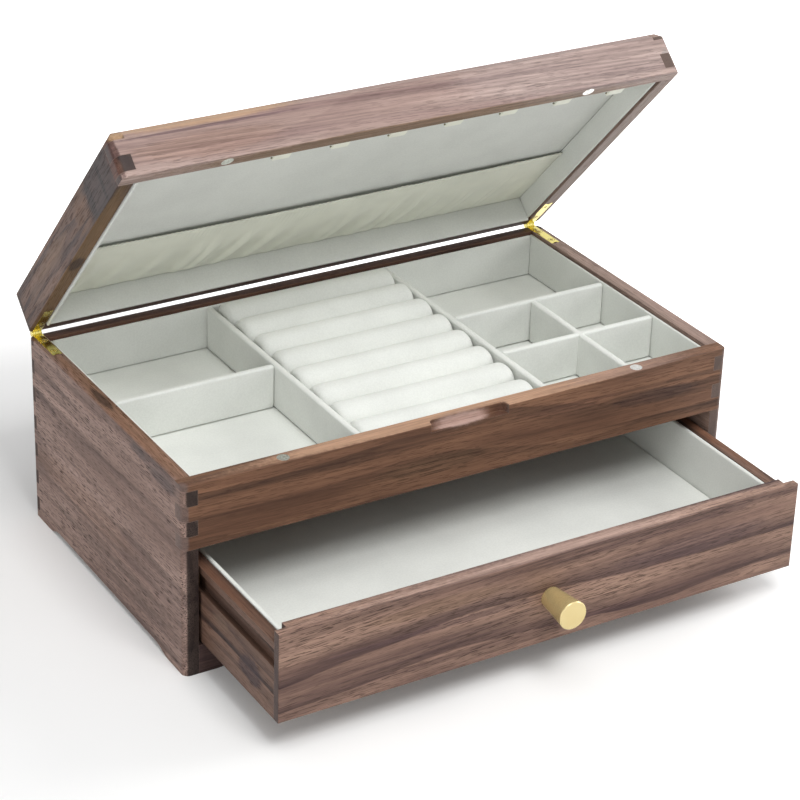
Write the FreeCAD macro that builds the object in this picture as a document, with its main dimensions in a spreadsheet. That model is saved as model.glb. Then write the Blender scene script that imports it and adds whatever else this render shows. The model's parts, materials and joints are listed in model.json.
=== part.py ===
"""Ring box with a drawer: a walnut box with a hinged lid, a velvet tray and a drawer.

Millimetres. +X is to the right, +Y to the back and +Z up. The origin is on the floor, at the
centre of the carcass. The lid is drawn shut and the drawer is drawn closed; each of their
pieces then gets the Placement that opens it.
"""
import FreeCAD, Part
import Sketcher
import os

os.makedirs("parts", exist_ok=True)

# ---------------------------------------------------------------------------
# Driving dimensions
# ---------------------------------------------------------------------------
SIZES = {
    # Carcass
    "box_width": 300.0,
    "box_depth": 170.0,
    "box_height": 100.0,
    "side_board": 7.5,
    "front_board": 8.0,
    "back_board": 6.0,
    "corner_round": 3.5,
    "edge_ease": 0.4,
    "rail_cover": 3.2,
    "sill_height": 15.2,
    "first_finger": 3.0,
    "finger": 7.75,
    "foot_length": 20.0,
    "arch_slope": 8.0,
    "arch_height": 3.0,
    "arch_curve": 14.0,
    "groove_depth": 3.0,
    "tray_board": 4.0,
    "bottom_panel": 4.0,
    "bottom_panel_z": 6.0,
    # Finger notch and magnets in the front top rail
    "notch_width": 43.0,
    "notch_drop": 4.7,
    "notch_depth": 4.5,
    "notch_round": 4.0,
    "magnet_diameter": 6.0,
    "magnet_thickness": 3.0,
    "magnet_inset": 52.5,
    "magnet_setback": 4.0,
    # Tray
    "tray_drop": 1.5,
    "tray_depth": 23.0,
    "lining": 1.5,
    "side_lining_gap": 0.6,
    "end_lining_gap": 0.3,
    "lining_ease": 0.5,
    "divider": 3.5,
    "divider_ease": 1.2,
    "left_divider_x": -54.5,
    "right_divider_x": 48.5,
    "left_cross_y": 5.5,
    "right_cross_y": 10.0,
    "front_cross_y": -34.0,
    "long_divider_x": 96.5,
    "lap_play": 0.1,
    "roll_rise_back": 4.7,
    "roll_rise_front": 0.3,
    "roll_gap": 0.3,
    "roll_flat": 0.65,
    # Lid
    "lid_height": 23.2,
    "lid_gap": 0.3,
    "lid_open": 47.5,
    "lid_chamfer": 3.0,
    "lid_panel": 7.0,
    "lid_panel_seat": 2.0,
    "lid_pad": 2.5,
    "lid_lining_drop": 1.0,
    "pocket_thickness": 1.8,
    "pocket_y": 22.5,
    # Hinges
    "leaf_width": 5.0,
    "leaf_length": 24.5,
    "leaf_thickness": 1.2,
    "leaf_inset": 0.3,
    "leaf_notch": 2.4,
    "hinge_back": 1.7,
    "knuckle_diameter": 3.2,
    "knuckle_end": 1.5,
    "knuckle_play": 0.05,
    "pin_diameter": 1.6,
    "screw_diameter": 2.0,
    "screw_head": 3.8,
    "screw_length": 9.0,
    "screw_slot": 0.5,
    "screw_slot_depth": 0.5,
    "screw_front": 4.5,
    "screw_back": 8.0,
    # Drawer
    "drawer_out": 73.4,
    "drawer_side_gap": 1.6,
    "drawer_bottom_gap": 1.2,
    "drawer_top_gap": 4.6,
    "drawer_back_gap": 0.3,
    "drawer_front": 8.4,
    "drawer_ease": 0.6,
    "drawer_lip": 4.3,
    "drawer_side": 5.8,
    "drawer_side_drop": 6.3,
    "drawer_back_drop": 1.2,
    "drawer_bottom": 4.0,
    "drawer_bottom_rise": 5.6,
    "drawer_groove": 2.5,
    "drawer_pad": 3.6,
    "drawer_lining": 2.3,
    "drawer_lining_gap": 0.5,
    "drawer_lining_rise": 0.3,
    # Runners and stop
    "runner_drop": 3.4,
    "runner_height": 8.9,
    "runner_slot": 3.0,
    "runner_play": 0.3,
    "runner_front_gap": 7.0,
    "runner_back_gap": 4.0,
    "stop_width": 60.0,
    "stop_depth": 7.0,
    "stop_setback": 15.5,
    "stop_overlap": 3.0,
    # Knob
    "knob_base": 10.4,
    "knob_face": 14.4,
    "knob_length": 18.5,
    "knob_rise": 1.0,
    "knob_edge": 0.4,
    "knob_screw": 3.8,
    "knob_screw_head": 7.0,
    "knob_screw_head_height": 2.0,
    "knob_screw_reach": 9.5,
    "knob_play": 0.05,
    "knob_hole_play": 0.2,
}
ROLL_COUNT = 8
SMALLEST_FINGER = 1.0
SCREW_HEAD_ANGLE = 45.0
FACING_FORWARD = 90
NEAR = 1e-4

doc = FreeCAD.newDocument("ring_box")
sheet = doc.addObject("Spreadsheet::Sheet", "Sizes")
for row, (alias, size) in enumerate(SIZES.items(), start=1):
    sheet.set(f"A{row}", alias)
    sheet.set(f"B{row}", str(size))
    sheet.setAlias(f"B{row}", alias)
doc.recompute()


class Size:
    """A length as an expression on the sheet's cells, with the value it has now."""

    def __init__(self, text, value):
        self.text = text
        self.value = value

    def _join(self, other, sign, value):
        return Size(f"({self.text} {sign} {size_of(other).text})", value)

    def __add__(self, other):
        return self._join(other, "+", self.value + size_of(other).value)

    def __sub__(self, other):
        return self._join(other, "-", self.value - size_of(other).value)

    def __mul__(self, other):
        return self._join(other, "*", self.value * size_of(other).value)

    def __truediv__(self, other):
        return self._join(other, "/", self.value / size_of(other).value)

    def __neg__(self):
        return Size(f"(0 - {self.text})", -self.value)


def size_of(number):
    """A Size from a Size or from a plain number."""
    if isinstance(number, Size):
        return number
    return Size(f"({number})", float(number))


def cell(alias):
    """The Size held by one cell of the sheet."""
    return Size(f"Sizes.{alias}", SIZES[alias])


# ---------------------------------------------------------------------------
# Places that several pieces share
# ---------------------------------------------------------------------------
SIDE = cell("box_width") / 2
FRONT = -cell("box_depth") / 2
BACK = cell("box_depth") / 2
TOP = cell("box_height")
INNER_SIDE = SIDE - cell("side_board")
INNER_FRONT = FRONT + cell("front_board")
INNER_BACK = BACK - cell("back_board")

TRAY_TOP = TOP - cell("tray_drop")
TRAY_FLOOR = TRAY_TOP - cell("tray_depth")
TRAY_BOARD_TOP = TRAY_FLOOR - cell("lining")
TRAY_BOARD_BOTTOM = TRAY_BOARD_TOP - cell("tray_board")
RAIL_BOTTOM = TRAY_BOARD_BOTTOM - cell("rail_cover")
TRAY_OUTER_X = INNER_SIDE - cell("side_lining_gap")
TRAY_X = TRAY_OUTER_X - cell("lining")
TRAY_OUTER_FRONT = INNER_FRONT + cell("end_lining_gap")
TRAY_OUTER_BACK = INNER_BACK - cell("end_lining_gap")
TRAY_FRONT = TRAY_OUTER_FRONT + cell("lining")
TRAY_BACK = TRAY_OUTER_BACK - cell("lining")

RIM = TOP + cell("lid_gap")
LID_TOP = RIM + cell("lid_height")
LID_PANEL_BOTTOM = LID_TOP - cell("lid_panel")
LID_CEILING = LID_PANEL_BOTTOM - cell("lid_pad")
LID_LINING_BOTTOM = RIM + cell("lid_lining_drop")

MAGNET_X = SIDE - cell("magnet_inset")
MAGNET_Y = FRONT + cell("magnet_setback")
MAGNET_RADIUS = cell("magnet_diameter") / 2

HINGE_Y = BACK + cell("hinge_back")
HINGE_Z = TOP + cell("lid_gap") / 2
LEAF_INNER = INNER_SIDE + cell("leaf_inset")
LEAF_OUTER = LEAF_INNER + cell("leaf_width")
LEAF_X = LEAF_INNER + cell("leaf_width") / 2
LEAF_FRONT = BACK - cell("leaf_length")
LEAF_BOTTOM = TOP - cell("leaf_thickness")
LEAF_TOP = RIM + cell("leaf_thickness")
SCREW_RADIUS = cell("screw_diameter") / 2
SCREW_HEAD_RADIUS = cell("screw_head") / 2
SCREW_CONE = SCREW_HEAD_RADIUS - SCREW_RADIUS
SCREW_YS = (LEAF_FRONT + cell("screw_front"), BACK - cell("screw_back"))

DRAWER_SIDE = INNER_SIDE - cell("drawer_side_gap")
DRAWER_INNER = DRAWER_SIDE - cell("drawer_side")
DRAWER_LOW = cell("sill_height") + cell("drawer_bottom_gap")
DRAWER_TOP = RAIL_BOTTOM - cell("drawer_top_gap")
DRAWER_SIDE_TOP = DRAWER_TOP - cell("drawer_side_drop")
DRAWER_BACK_TOP = DRAWER_TOP - cell("drawer_back_drop")
DRAWER_INNER_FRONT = FRONT + cell("drawer_front")
DRAWER_END = INNER_BACK - cell("drawer_back_gap")
DRAWER_INNER_BACK = DRAWER_END - cell("drawer_side")
DRAWER_BOTTOM_LOW = DRAWER_LOW + cell("drawer_bottom_rise")
DRAWER_BOTTOM_TOP = DRAWER_BOTTOM_LOW + cell("drawer_bottom")
DRAWER_LINING_TOP = DRAWER_SIDE_TOP + cell("drawer_lining_rise")
GROOVE_TOP = DRAWER_SIDE_TOP - cell("runner_drop")
GROOVE_BOTTOM = GROOVE_TOP - cell("runner_height") - cell("runner_play") * 2
KNOB_Z = (DRAWER_LOW + DRAWER_TOP) / 2 + cell("knob_rise")

SHAPES = {}


# ---------------------------------------------------------------------------
# Sketches, pads and pockets
# ---------------------------------------------------------------------------
def bind(thing, prop, size):
    """Tie one property of a document object to the sheet."""
    thing.setExpression(prop, size_of(size).text)


def new_body(name):
    """A Body for one sub-part; its Label becomes the node's name."""
    body = doc.addObject("PartDesign::Body", name)
    body.Label = name
    SHAPES[name] = body
    return body


def origin_plane(body, role):
    """One of the body's own origin planes."""
    for feature in body.Origin.OriginFeatures:
        if feature.Role == role:
            return feature
    raise RuntimeError(f"{body.Label} has no {role}")


def pin_point(sketch, geometry, point, across, up):
    """Fix one point of a sketch at two Sizes from the sketch's origin.

    Sketcher numbers a line's start and end 1 and 2 and a circle's centre 3, and the
    sketch's own origin is point 1 of geometry -1.
    """
    for kind, size in (("DistanceX", across), ("DistanceY", up)):
        place = size_of(size)
        rule = Sketcher.Constraint(kind, -1, 1, geometry, point, place.value)
        index = sketch.addConstraint(rule)
        sketch.setExpression(f"Constraints[{index}]", place.text)


def draw_polygon(sketch, points):
    """A closed outline of straight lines."""
    first = sketch.GeometryCount
    count = len(points)
    corners = [FreeCAD.Vector(size_of(u).value, size_of(v).value, 0) for u, v in points]
    for number in range(count):
        line = Part.LineSegment(corners[number], corners[(number + 1) % count])
        sketch.addGeometry(line, False)
    for number in range(count):
        after = first + (number + 1) % count
        sketch.addConstraint(Sketcher.Constraint("Coincident", first + number, 2, after, 1))
    for number, (across, up) in enumerate(points):
        pin_point(sketch, first + number, 1, across, up)


def draw_circle(sketch, across, up, radius):
    """A circle given by its centre and radius."""
    centre = FreeCAD.Vector(size_of(across).value, size_of(up).value, 0)
    circle = Part.Circle(centre, FreeCAD.Vector(0, 0, 1), radius.value)
    index = sketch.addGeometry(circle, False)
    pin_point(sketch, index, 3, across, up)
    rule = sketch.addConstraint(Sketcher.Constraint("Radius", index, radius.value))
    sketch.setExpression(f"Constraints[{rule}]", radius.text)


def rectangle(low_u, high_u, low_v, high_v):
    """The four corners of a rectangle."""
    return [(low_u, low_v), (high_u, low_v), (high_u, high_v), (low_u, high_v)]


def new_sketch(body, plane, place, outlines):
    """A sketch parallel to an origin plane, `place` along that plane's axis.

    An outline is a list of points, or a (across, up, radius) circle.
    """
    sketch = body.newObject("Sketcher::SketchObject", f"{body.Name}_sketch")
    sketch.AttachmentSupport = (origin_plane(body, f"{plane}_Plane"), [""])
    sketch.MapMode = "FlatFace"
    offset = -size_of(place) if plane == "XZ" else size_of(place)
    bind(sketch, "AttachmentOffset.Base.z", offset)
    for outline in outlines:
        if isinstance(outline, tuple):
            draw_circle(sketch, *outline)
        else:
            draw_polygon(sketch, outline)
    return sketch


def pad(body, plane, place, length, outlines):
    """Add material: upwards from XY, forwards from XZ, to the right from YZ."""
    sketch = new_sketch(body, plane, place, outlines)
    feature = body.newObject("PartDesign::Pad", f"{body.Name}_pad")
    feature.Profile = sketch
    bind(feature, "Length", length)
    doc.recompute()
    return feature


def pocket(body, plane, place, depth, outlines):
    """Cut material: downwards from XY, backwards from XZ, to the left from YZ."""
    before = body.Shape.Volume
    sketch = new_sketch(body, plane, place, outlines)
    feature = body.newObject("PartDesign::Pocket", f"{body.Name}_pocket")
    feature.Profile = sketch
    bind(feature, "Length", depth)
    doc.recompute()
    if not body.Shape.Volume < before:
        raise RuntimeError(f"a pocket in {body.Label} cuts nothing")
    return feature


def edges_where(body, test):
    """Names of the body's edges whose bounding box passes a test."""
    names = []
    for number, edge in enumerate(body.Shape.Edges, start=1):
        if test(edge.BoundBox):
            names.append(f"Edge{number}")
    if not names:
        raise RuntimeError(f"no edge found on {body.Label}")
    return names


def dress(body, kind, prop, size, test):
    """Round or chamfer the edges that pass a test."""
    names = edges_where(body, test)
    base = body.Tip
    feature = body.newObject(f"PartDesign::{kind}", f"{body.Name}_{kind.lower()}")
    feature.Base = (base, names)
    bind(feature, prop, size)
    doc.recompute()
    return feature


def fillet(body, radius, test):
    """Round the edges that pass a test."""
    return dress(body, "Fillet", "Radius", radius, test)


def chamfer(body, width, test):
    """Bevel the edges that pass a test."""
    return dress(body, "Chamfer", "Size", width, test)


def near(one, other):
    """Whether two plain lengths agree."""
    return abs(one - other) < NEAR


def upright_at(box, x, y):
    """Whether an edge's box is a vertical line at x, y."""
    return (near(box.XMin, x) and near(box.XMax, x)
            and near(box.YMin, y) and near(box.YMax, y))


def outer_edge_at(level):
    """A test for the edges around the box's outline at one height."""
    slack = SIZES["corner_round"] / 2 + NEAR

    def test(box):
        middle_x = abs(box.XMin + box.XMax) / 2
        middle_y = abs(box.YMin + box.YMax) / 2
        outside = middle_x > SIDE.value - slack or middle_y > BACK.value - slack
        return outside and near(box.ZMin, level.value) and near(box.ZMax, level.value)

    return test


def is_outline_corner(box):
    """Whether an edge's box is an upright edge at a corner of the box's outline."""
    at_x = near(abs(box.XMin), SIDE.value) and near(box.XMin, box.XMax)
    at_y = near(abs(box.YMin), BACK.value) and near(box.YMin, box.YMax)
    return at_x and at_y


def slab(name, low, high):
    """A board between two opposite corners."""
    body = new_body(name)
    outline = rectangle(low[0], high[0], low[1], high[1])
    pad(body, "XY", low[2], size_of(high[2]) - low[2], [outline])
    return body


def mirrored(sign, near_x, far_x):
    """The low and high x of a piece on the left (-1) or the right (+1)."""
    if sign < 0:
        return -far_x, -near_x
    return near_x, far_x


# ---------------------------------------------------------------------------
# Box joints
# ---------------------------------------------------------------------------
def side_tongues(start, end):
    """Heights of the side boards' tongues between two ends, counted from the start."""
    sign = 1 if end.value > start.value else -1
    step = cell("finger") * sign
    cursor = start + cell("first_finger") * sign
    tongues = []
    while (end.value - cursor.value) * sign > SMALLEST_FINGER:
        after = cursor + step
        if (end.value - after.value) * sign < SMALLEST_FINGER:
            after = end
        tongues.append((cursor, after) if sign > 0 else (after, cursor))
        cursor = after + step
    return tongues


def sockets_between(tongues, start, end):
    """The heights left between the tongues, where the other board's tongues go."""
    low_end, high_end = (start, end) if start.value < end.value else (end, start)
    cursor = low_end
    sockets = []
    for low, high in sorted(tongues, key=lambda span: span[0].value):
        if low.value - cursor.value > NEAR:
            sockets.append((cursor, low))
        cursor = high
    if high_end.value - cursor.value > NEAR:
        sockets.append((cursor, high_end))
    return sockets


def cut_side_sockets(body, low_y, high_y, spans):
    """Sockets through a side board between two depths."""
    outlines = [rectangle(low_y, high_y, low, high) for low, high in spans]
    place = SIDE if body.Shape.BoundBox.XMin > 0 else -INNER_SIDE
    pocket(body, "YZ", place, cell("side_board"), outlines)


def cut_end_sockets(body, front_y, thickness, spans):
    """Sockets at both ends of a front or back board."""
    outlines = []
    for low, high in spans:
        outlines.append(rectangle(-SIDE, -INNER_SIDE, low, high))
        outlines.append(rectangle(INNER_SIDE, SIDE, low, high))
    pocket(body, "XZ", front_y, thickness, outlines)


# ---------------------------------------------------------------------------
# Carcass
# ---------------------------------------------------------------------------
def arch_outline(half_length, end, height):
    """A board's elevation from -end to end, a foot at each end and an arch between them."""
    foot = half_length - cell("foot_length")
    inner = foot - cell("arch_slope")
    rise = cell("arch_height")
    return [(-end, 0), (-foot, 0), (-inner, rise), (inner, rise), (foot, 0),
            (end, 0), (end, height), (-end, height)]


def round_arch(body, axis, half_length):
    """Round the arch's four corners, whose edges run along one axis."""
    foot = (half_length - cell("foot_length")).value
    inner = foot - SIZES["arch_slope"]

    def is_arch_corner(box):
        low, high = (box.XMin, box.XMax) if axis == "Y" else (box.YMin, box.YMax)
        below = box.ZMax < SIZES["arch_height"] + NEAR
        return below and near(low, high) and (near(abs(low), foot) or near(abs(low), inner))

    fillet(body, cell("arch_curve"), is_arch_corner)


def cut_leaf_mortise(body, sign, level):
    """The shallow seat of a hinge leaf, up to the given level."""
    low, high = mirrored(sign, LEAF_INNER, LEAF_OUTER)
    pocket(body, "XY", level, cell("leaf_thickness"), [rectangle(low, high, LEAF_FRONT, BACK)])


def cut_screw_holes(body, sign, level):
    """Two holes for the leaf's screws, down from the given level."""
    spots = [(LEAF_X * sign, y, SCREW_RADIUS) for y in SCREW_YS]
    pocket(body, "XY", level, cell("screw_length"), spots)


def make_side_board(name, sign):
    """A side board: arched below, socketed at its ends and let in for its hinge leaf."""
    body = new_body(name)
    low, high = mirrored(sign, INNER_SIDE, SIDE)
    pad(body, "YZ", low, high - low, [arch_outline(BACK, BACK, TOP)])
    fillet(body, cell("corner_round"), is_outline_corner)
    fillet(body, cell("edge_ease"), outer_edge_at(TOP))
    round_arch(body, "X", BACK)
    rail = sockets_between(side_tongues(TOP, RAIL_BOTTOM), TOP, RAIL_BOTTOM)
    cut_side_sockets(body, FRONT, INNER_FRONT, rail)
    back = sockets_between(side_tongues(TOP, size_of(0)), TOP, size_of(0))
    cut_side_sockets(body, INNER_BACK, BACK, back)
    for level, thickness in ((TRAY_BOARD_TOP, cell("tray_board")),
                             (cell("bottom_panel_z") + cell("bottom_panel"),
                              cell("bottom_panel"))):
        near_x, far_x = mirrored(sign, INNER_SIDE, INNER_SIDE + cell("groove_depth"))
        pocket(body, "XY", level, thickness,
               [rectangle(near_x, far_x, INNER_FRONT, INNER_BACK)])
    cut_leaf_mortise(body, sign, TOP)
    cut_screw_holes(body, sign, TOP)


def make_back_board():
    """The back board, with a tongue in each socket of the side boards."""
    body = new_body("back_board")
    pad(body, "XZ", BACK, cell("back_board"), [arch_outline(SIDE, SIDE, TOP)])
    fillet(body, cell("corner_round"), is_outline_corner)
    fillet(body, cell("edge_ease"), outer_edge_at(TOP))
    round_arch(body, "Y", SIDE)
    cut_end_sockets(body, INNER_BACK, cell("back_board"), side_tongues(TOP, size_of(0)))
    for sign in (-1, 1):
        cut_leaf_mortise(body, sign, TOP)


def make_front_top_rail():
    """The rail above the drawer, with a finger notch and two magnet pockets."""
    body = slab("front_top_rail", (-SIDE, FRONT, RAIL_BOTTOM), (SIDE, INNER_FRONT, TOP))
    fillet(body, cell("corner_round"), is_outline_corner)
    fillet(body, cell("edge_ease"), outer_edge_at(TOP))
    cut_end_sockets(body, FRONT, cell("front_board"), side_tongues(TOP, RAIL_BOTTOM))
    half = cell("notch_width") / 2
    notch_back = FRONT + cell("notch_depth")
    pocket(body, "XY", TOP, cell("notch_drop"), [rectangle(-half, half, FRONT, notch_back)])
    fillet(body, cell("notch_round"), lambda box: upright_at(box, -half.value, notch_back.value)
           or upright_at(box, half.value, notch_back.value))
    spots = [(MAGNET_X * sign, MAGNET_Y, MAGNET_RADIUS) for sign in (-1, 1)]
    pocket(body, "XY", TOP, cell("magnet_thickness"), spots)


def make_front_bottom_rail():
    """The sill under the drawer, between the side boards, arched like them."""
    body = new_body("front_bottom_rail")
    outline = arch_outline(SIDE, INNER_SIDE, cell("sill_height"))
    pad(body, "XZ", INNER_FRONT, cell("front_board"), [outline])
    round_arch(body, "Y", SIDE)


def make_inner_boards():
    """The tray board and the bottom panel, held in the side boards' grooves."""
    reach = INNER_SIDE + cell("groove_depth")
    slab("tray_board", (-reach, INNER_FRONT, TRAY_BOARD_BOTTOM),
         (reach, INNER_BACK, TRAY_BOARD_TOP))
    low = cell("bottom_panel_z")
    slab("bottom_panel", (-reach, INNER_FRONT, low),
         (reach, INNER_BACK, low + cell("bottom_panel")))


def make_runner(name, sign):
    """A drawer runner on a side board's inner face."""
    tip = DRAWER_SIDE - cell("runner_slot") + cell("runner_play")
    low, high = mirrored(sign, tip, INNER_SIDE)
    bottom = GROOVE_BOTTOM + cell("runner_play")
    slab(name, (low, FRONT + cell("runner_front_gap"), bottom),
         (high, INNER_BACK - cell("runner_back_gap"), bottom + cell("runner_height")))


def make_drawer_stop():
    """A block under the tray board that catches the back of the pulled drawer."""
    half = cell("stop_width") / 2
    front = FRONT + cell("stop_setback")
    bottom = DRAWER_BACK_TOP - cell("stop_overlap")
    slab("drawer_stop", (-half, front, bottom),
         (half, front + cell("stop_depth"), TRAY_BOARD_BOTTOM))


def make_magnets(name, level):
    """A magnet on each side, its top at the given level."""
    for word, sign in (("left", -1), ("right", 1)):
        body = new_body(f"{name}_{word}")
        pad(body, "XY", level - cell("magnet_thickness"), cell("magnet_thickness"),
            [(MAGNET_X * sign, MAGNET_Y, MAGNET_RADIUS)])


# ---------------------------------------------------------------------------
# Tray
# ---------------------------------------------------------------------------
def lined_slab(name, low, high, axis, radius):
    """A lined board along one axis, the two long edges of its top rounded."""
    body = slab(name, low, high)

    def is_long_top(box):
        across = (box.YMin, box.YMax) if axis == "X" else (box.XMin, box.XMax)
        return near(box.ZMin, TRAY_TOP.value) and near(box.ZMax, TRAY_TOP.value) \
            and near(*across)

    fillet(body, radius, is_long_top)
    return body


def make_tray_lining():
    """The velvet floor and the four velvet walls that stand on it."""
    slab("tray_floor", (-TRAY_OUTER_X, TRAY_OUTER_FRONT, TRAY_BOARD_TOP),
         (TRAY_OUTER_X, TRAY_OUTER_BACK, TRAY_FLOOR))
    ease = cell("lining_ease")
    for word, sign in (("left", -1), ("right", 1)):
        low, high = mirrored(sign, TRAY_X, TRAY_OUTER_X)
        lined_slab(f"tray_wall_{word}", (low, TRAY_OUTER_FRONT, TRAY_FLOOR),
                   (high, TRAY_OUTER_BACK, TRAY_TOP), "Y", ease)
    lined_slab("tray_wall_front", (-TRAY_X, TRAY_OUTER_FRONT, TRAY_FLOOR),
               (TRAY_X, TRAY_FRONT, TRAY_TOP), "X", ease)
    lined_slab("tray_wall_back", (-TRAY_X, TRAY_BACK, TRAY_FLOOR),
               (TRAY_X, TRAY_OUTER_BACK, TRAY_TOP), "X", ease)


def divider_at(place):
    """The two faces of a divider from its centre line."""
    half = cell("divider") / 2
    return place - half, place + half


def make_main_dividers():
    """The two dividers that run from front to back."""
    for word in ("left", "right"):
        low, high = divider_at(cell(f"{word}_divider_x"))
        lined_slab(f"{word}_divider", (low, TRAY_FRONT, TRAY_FLOOR),
                   (high, TRAY_BACK, TRAY_TOP), "Y", cell("divider_ease"))


def make_cross_dividers():
    """The cross dividers and the long one that laps over the front cross divider."""
    left_face = divider_at(cell("left_divider_x"))[0]
    right_face = divider_at(cell("right_divider_x"))[1]
    ease = cell("divider_ease")
    low, high = divider_at(cell("left_cross_y"))
    lined_slab("left_cross_divider", (-TRAY_X, low, TRAY_FLOOR),
               (left_face, high, TRAY_TOP), "X", ease)
    rear_low, rear_high = divider_at(cell("right_cross_y"))
    lined_slab("right_rear_cross_divider", (right_face, rear_low, TRAY_FLOOR),
               (TRAY_X, rear_high, TRAY_TOP), "X", ease)

    middle = (TRAY_FLOOR + TRAY_TOP) / 2
    cross_low, cross_high = divider_at(cell("front_cross_y"))
    long_low, long_high = divider_at(cell("long_divider_x"))
    play = cell("lap_play")
    cross = lined_slab("right_front_cross_divider", (right_face, cross_low, TRAY_FLOOR),
                       (TRAY_X, cross_high, TRAY_TOP), "X", ease)
    pocket(cross, "XY", TRAY_TOP, TRAY_TOP - middle + play,
           [rectangle(long_low - play, long_high + play, cross_low, cross_high)])
    long = lined_slab("right_long_divider", (long_low, TRAY_FRONT, TRAY_FLOOR),
                      (long_high, rear_low, TRAY_TOP), "Y", ease)
    pocket(long, "XY", middle, middle - TRAY_FLOOR,
           [rectangle(long_low, long_high, cross_low - play, cross_high + play)])


def make_ring_rolls():
    """Soft rolls side by side between the main dividers, each lower than the one behind."""
    low_x = divider_at(cell("left_divider_x"))[1] + cell("roll_gap")
    high_x = divider_at(cell("right_divider_x"))[0] - cell("roll_gap")
    pitch = (TRAY_BACK - TRAY_FRONT) / ROLL_COUNT
    half_gap = cell("roll_gap") / 2
    step = (cell("roll_rise_back") - cell("roll_rise_front")) / (ROLL_COUNT - 1)
    crown = pitch / 2 - half_gap - cell("roll_flat")
    for number in range(ROLL_COUNT):
        back = TRAY_BACK - pitch * number
        top = TRAY_TOP + cell("roll_rise_back") - step * number
        body = slab(f"ring_roll_{number + 1}", (low_x, back - pitch + half_gap, TRAY_FLOOR),
                    (high_x, back - half_gap, top))
        fillet(body, crown, lambda box: near(box.ZMin, top.value) and near(box.YMin, box.YMax))


# ---------------------------------------------------------------------------
# Lid, drawn shut
# ---------------------------------------------------------------------------
def finish_lid_board(body):
    """Round the lid's upright corners, bevel its top, ease its rim and seat its panel."""
    fillet(body, cell("corner_round"), is_outline_corner)
    chamfer(body, cell("lid_chamfer"), outer_edge_at(LID_TOP))
    fillet(body, cell("edge_ease"), outer_edge_at(RIM))
    seat = cell("lid_panel_seat")
    pocket(body, "XY", LID_TOP, cell("lid_panel"),
           [rectangle(-INNER_SIDE - seat, INNER_SIDE + seat,
                      INNER_FRONT - seat, INNER_BACK + seat)])


def make_lid_sides():
    """The lid's left and right boards, let in for the upper hinge leaves."""
    tongues = side_tongues(RIM, LID_TOP)
    sockets = sockets_between(tongues, RIM, LID_TOP)
    for word, sign in (("left", -1), ("right", 1)):
        low, high = mirrored(sign, INNER_SIDE, SIDE)
        body = slab(f"lid_{word}", (low, FRONT, RIM), (high, BACK, LID_TOP))
        finish_lid_board(body)
        cut_side_sockets(body, FRONT, INNER_FRONT, sockets)
        cut_side_sockets(body, INNER_BACK, BACK, sockets)
        cut_leaf_mortise(body, sign, LEAF_TOP)
        cut_screw_holes(body, sign, RIM + cell("screw_length"))


def make_lid_front_and_back():
    """The lid's front board with its magnet pockets, and its back board."""
    tongues = side_tongues(RIM, LID_TOP)
    front = slab("lid_front", (-SIDE, FRONT, RIM), (SIDE, INNER_FRONT, LID_TOP))
    finish_lid_board(front)
    cut_end_sockets(front, FRONT, cell("front_board"), tongues)
    spots = [(MAGNET_X * sign, MAGNET_Y, MAGNET_RADIUS) for sign in (-1, 1)]
    pocket(front, "XY", RIM + cell("magnet_thickness"), cell("magnet_thickness"), spots)
    back = slab("lid_back", (-SIDE, INNER_BACK, RIM), (SIDE, BACK, LID_TOP))
    finish_lid_board(back)
    cut_end_sockets(back, INNER_BACK, cell("back_board"), tongues)
    for sign in (-1, 1):
        cut_leaf_mortise(back, sign, LEAF_TOP)


def make_lid_panel():
    """The lid's top panel, seated in the four boards."""
    seat = cell("lid_panel_seat")
    slab("lid_panel", (-INNER_SIDE - seat, INNER_FRONT - seat, LID_PANEL_BOTTOM),
         (INNER_SIDE + seat, INNER_BACK + seat, LID_TOP))


def make_lid_lining():
    """The ceiling pad, the wall lining under it and the cloth pocket."""
    slab("lid_lining_top", (-TRAY_OUTER_X, TRAY_OUTER_FRONT, LID_CEILING),
         (TRAY_OUTER_X, TRAY_OUTER_BACK, LID_PANEL_BOTTOM))
    walls = slab("lid_lining_walls", (-TRAY_OUTER_X, TRAY_OUTER_FRONT, LID_LINING_BOTTOM),
                 (TRAY_OUTER_X, TRAY_OUTER_BACK, LID_CEILING))
    pocket(walls, "XY", LID_CEILING, LID_CEILING - LID_LINING_BOTTOM,
           [rectangle(-TRAY_X, TRAY_X, TRAY_FRONT, TRAY_BACK)])
    slab("lid_pocket", (-TRAY_X, cell("pocket_y"), LID_CEILING - cell("pocket_thickness")),
         (TRAY_X, TRAY_BACK, LID_CEILING))


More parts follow.
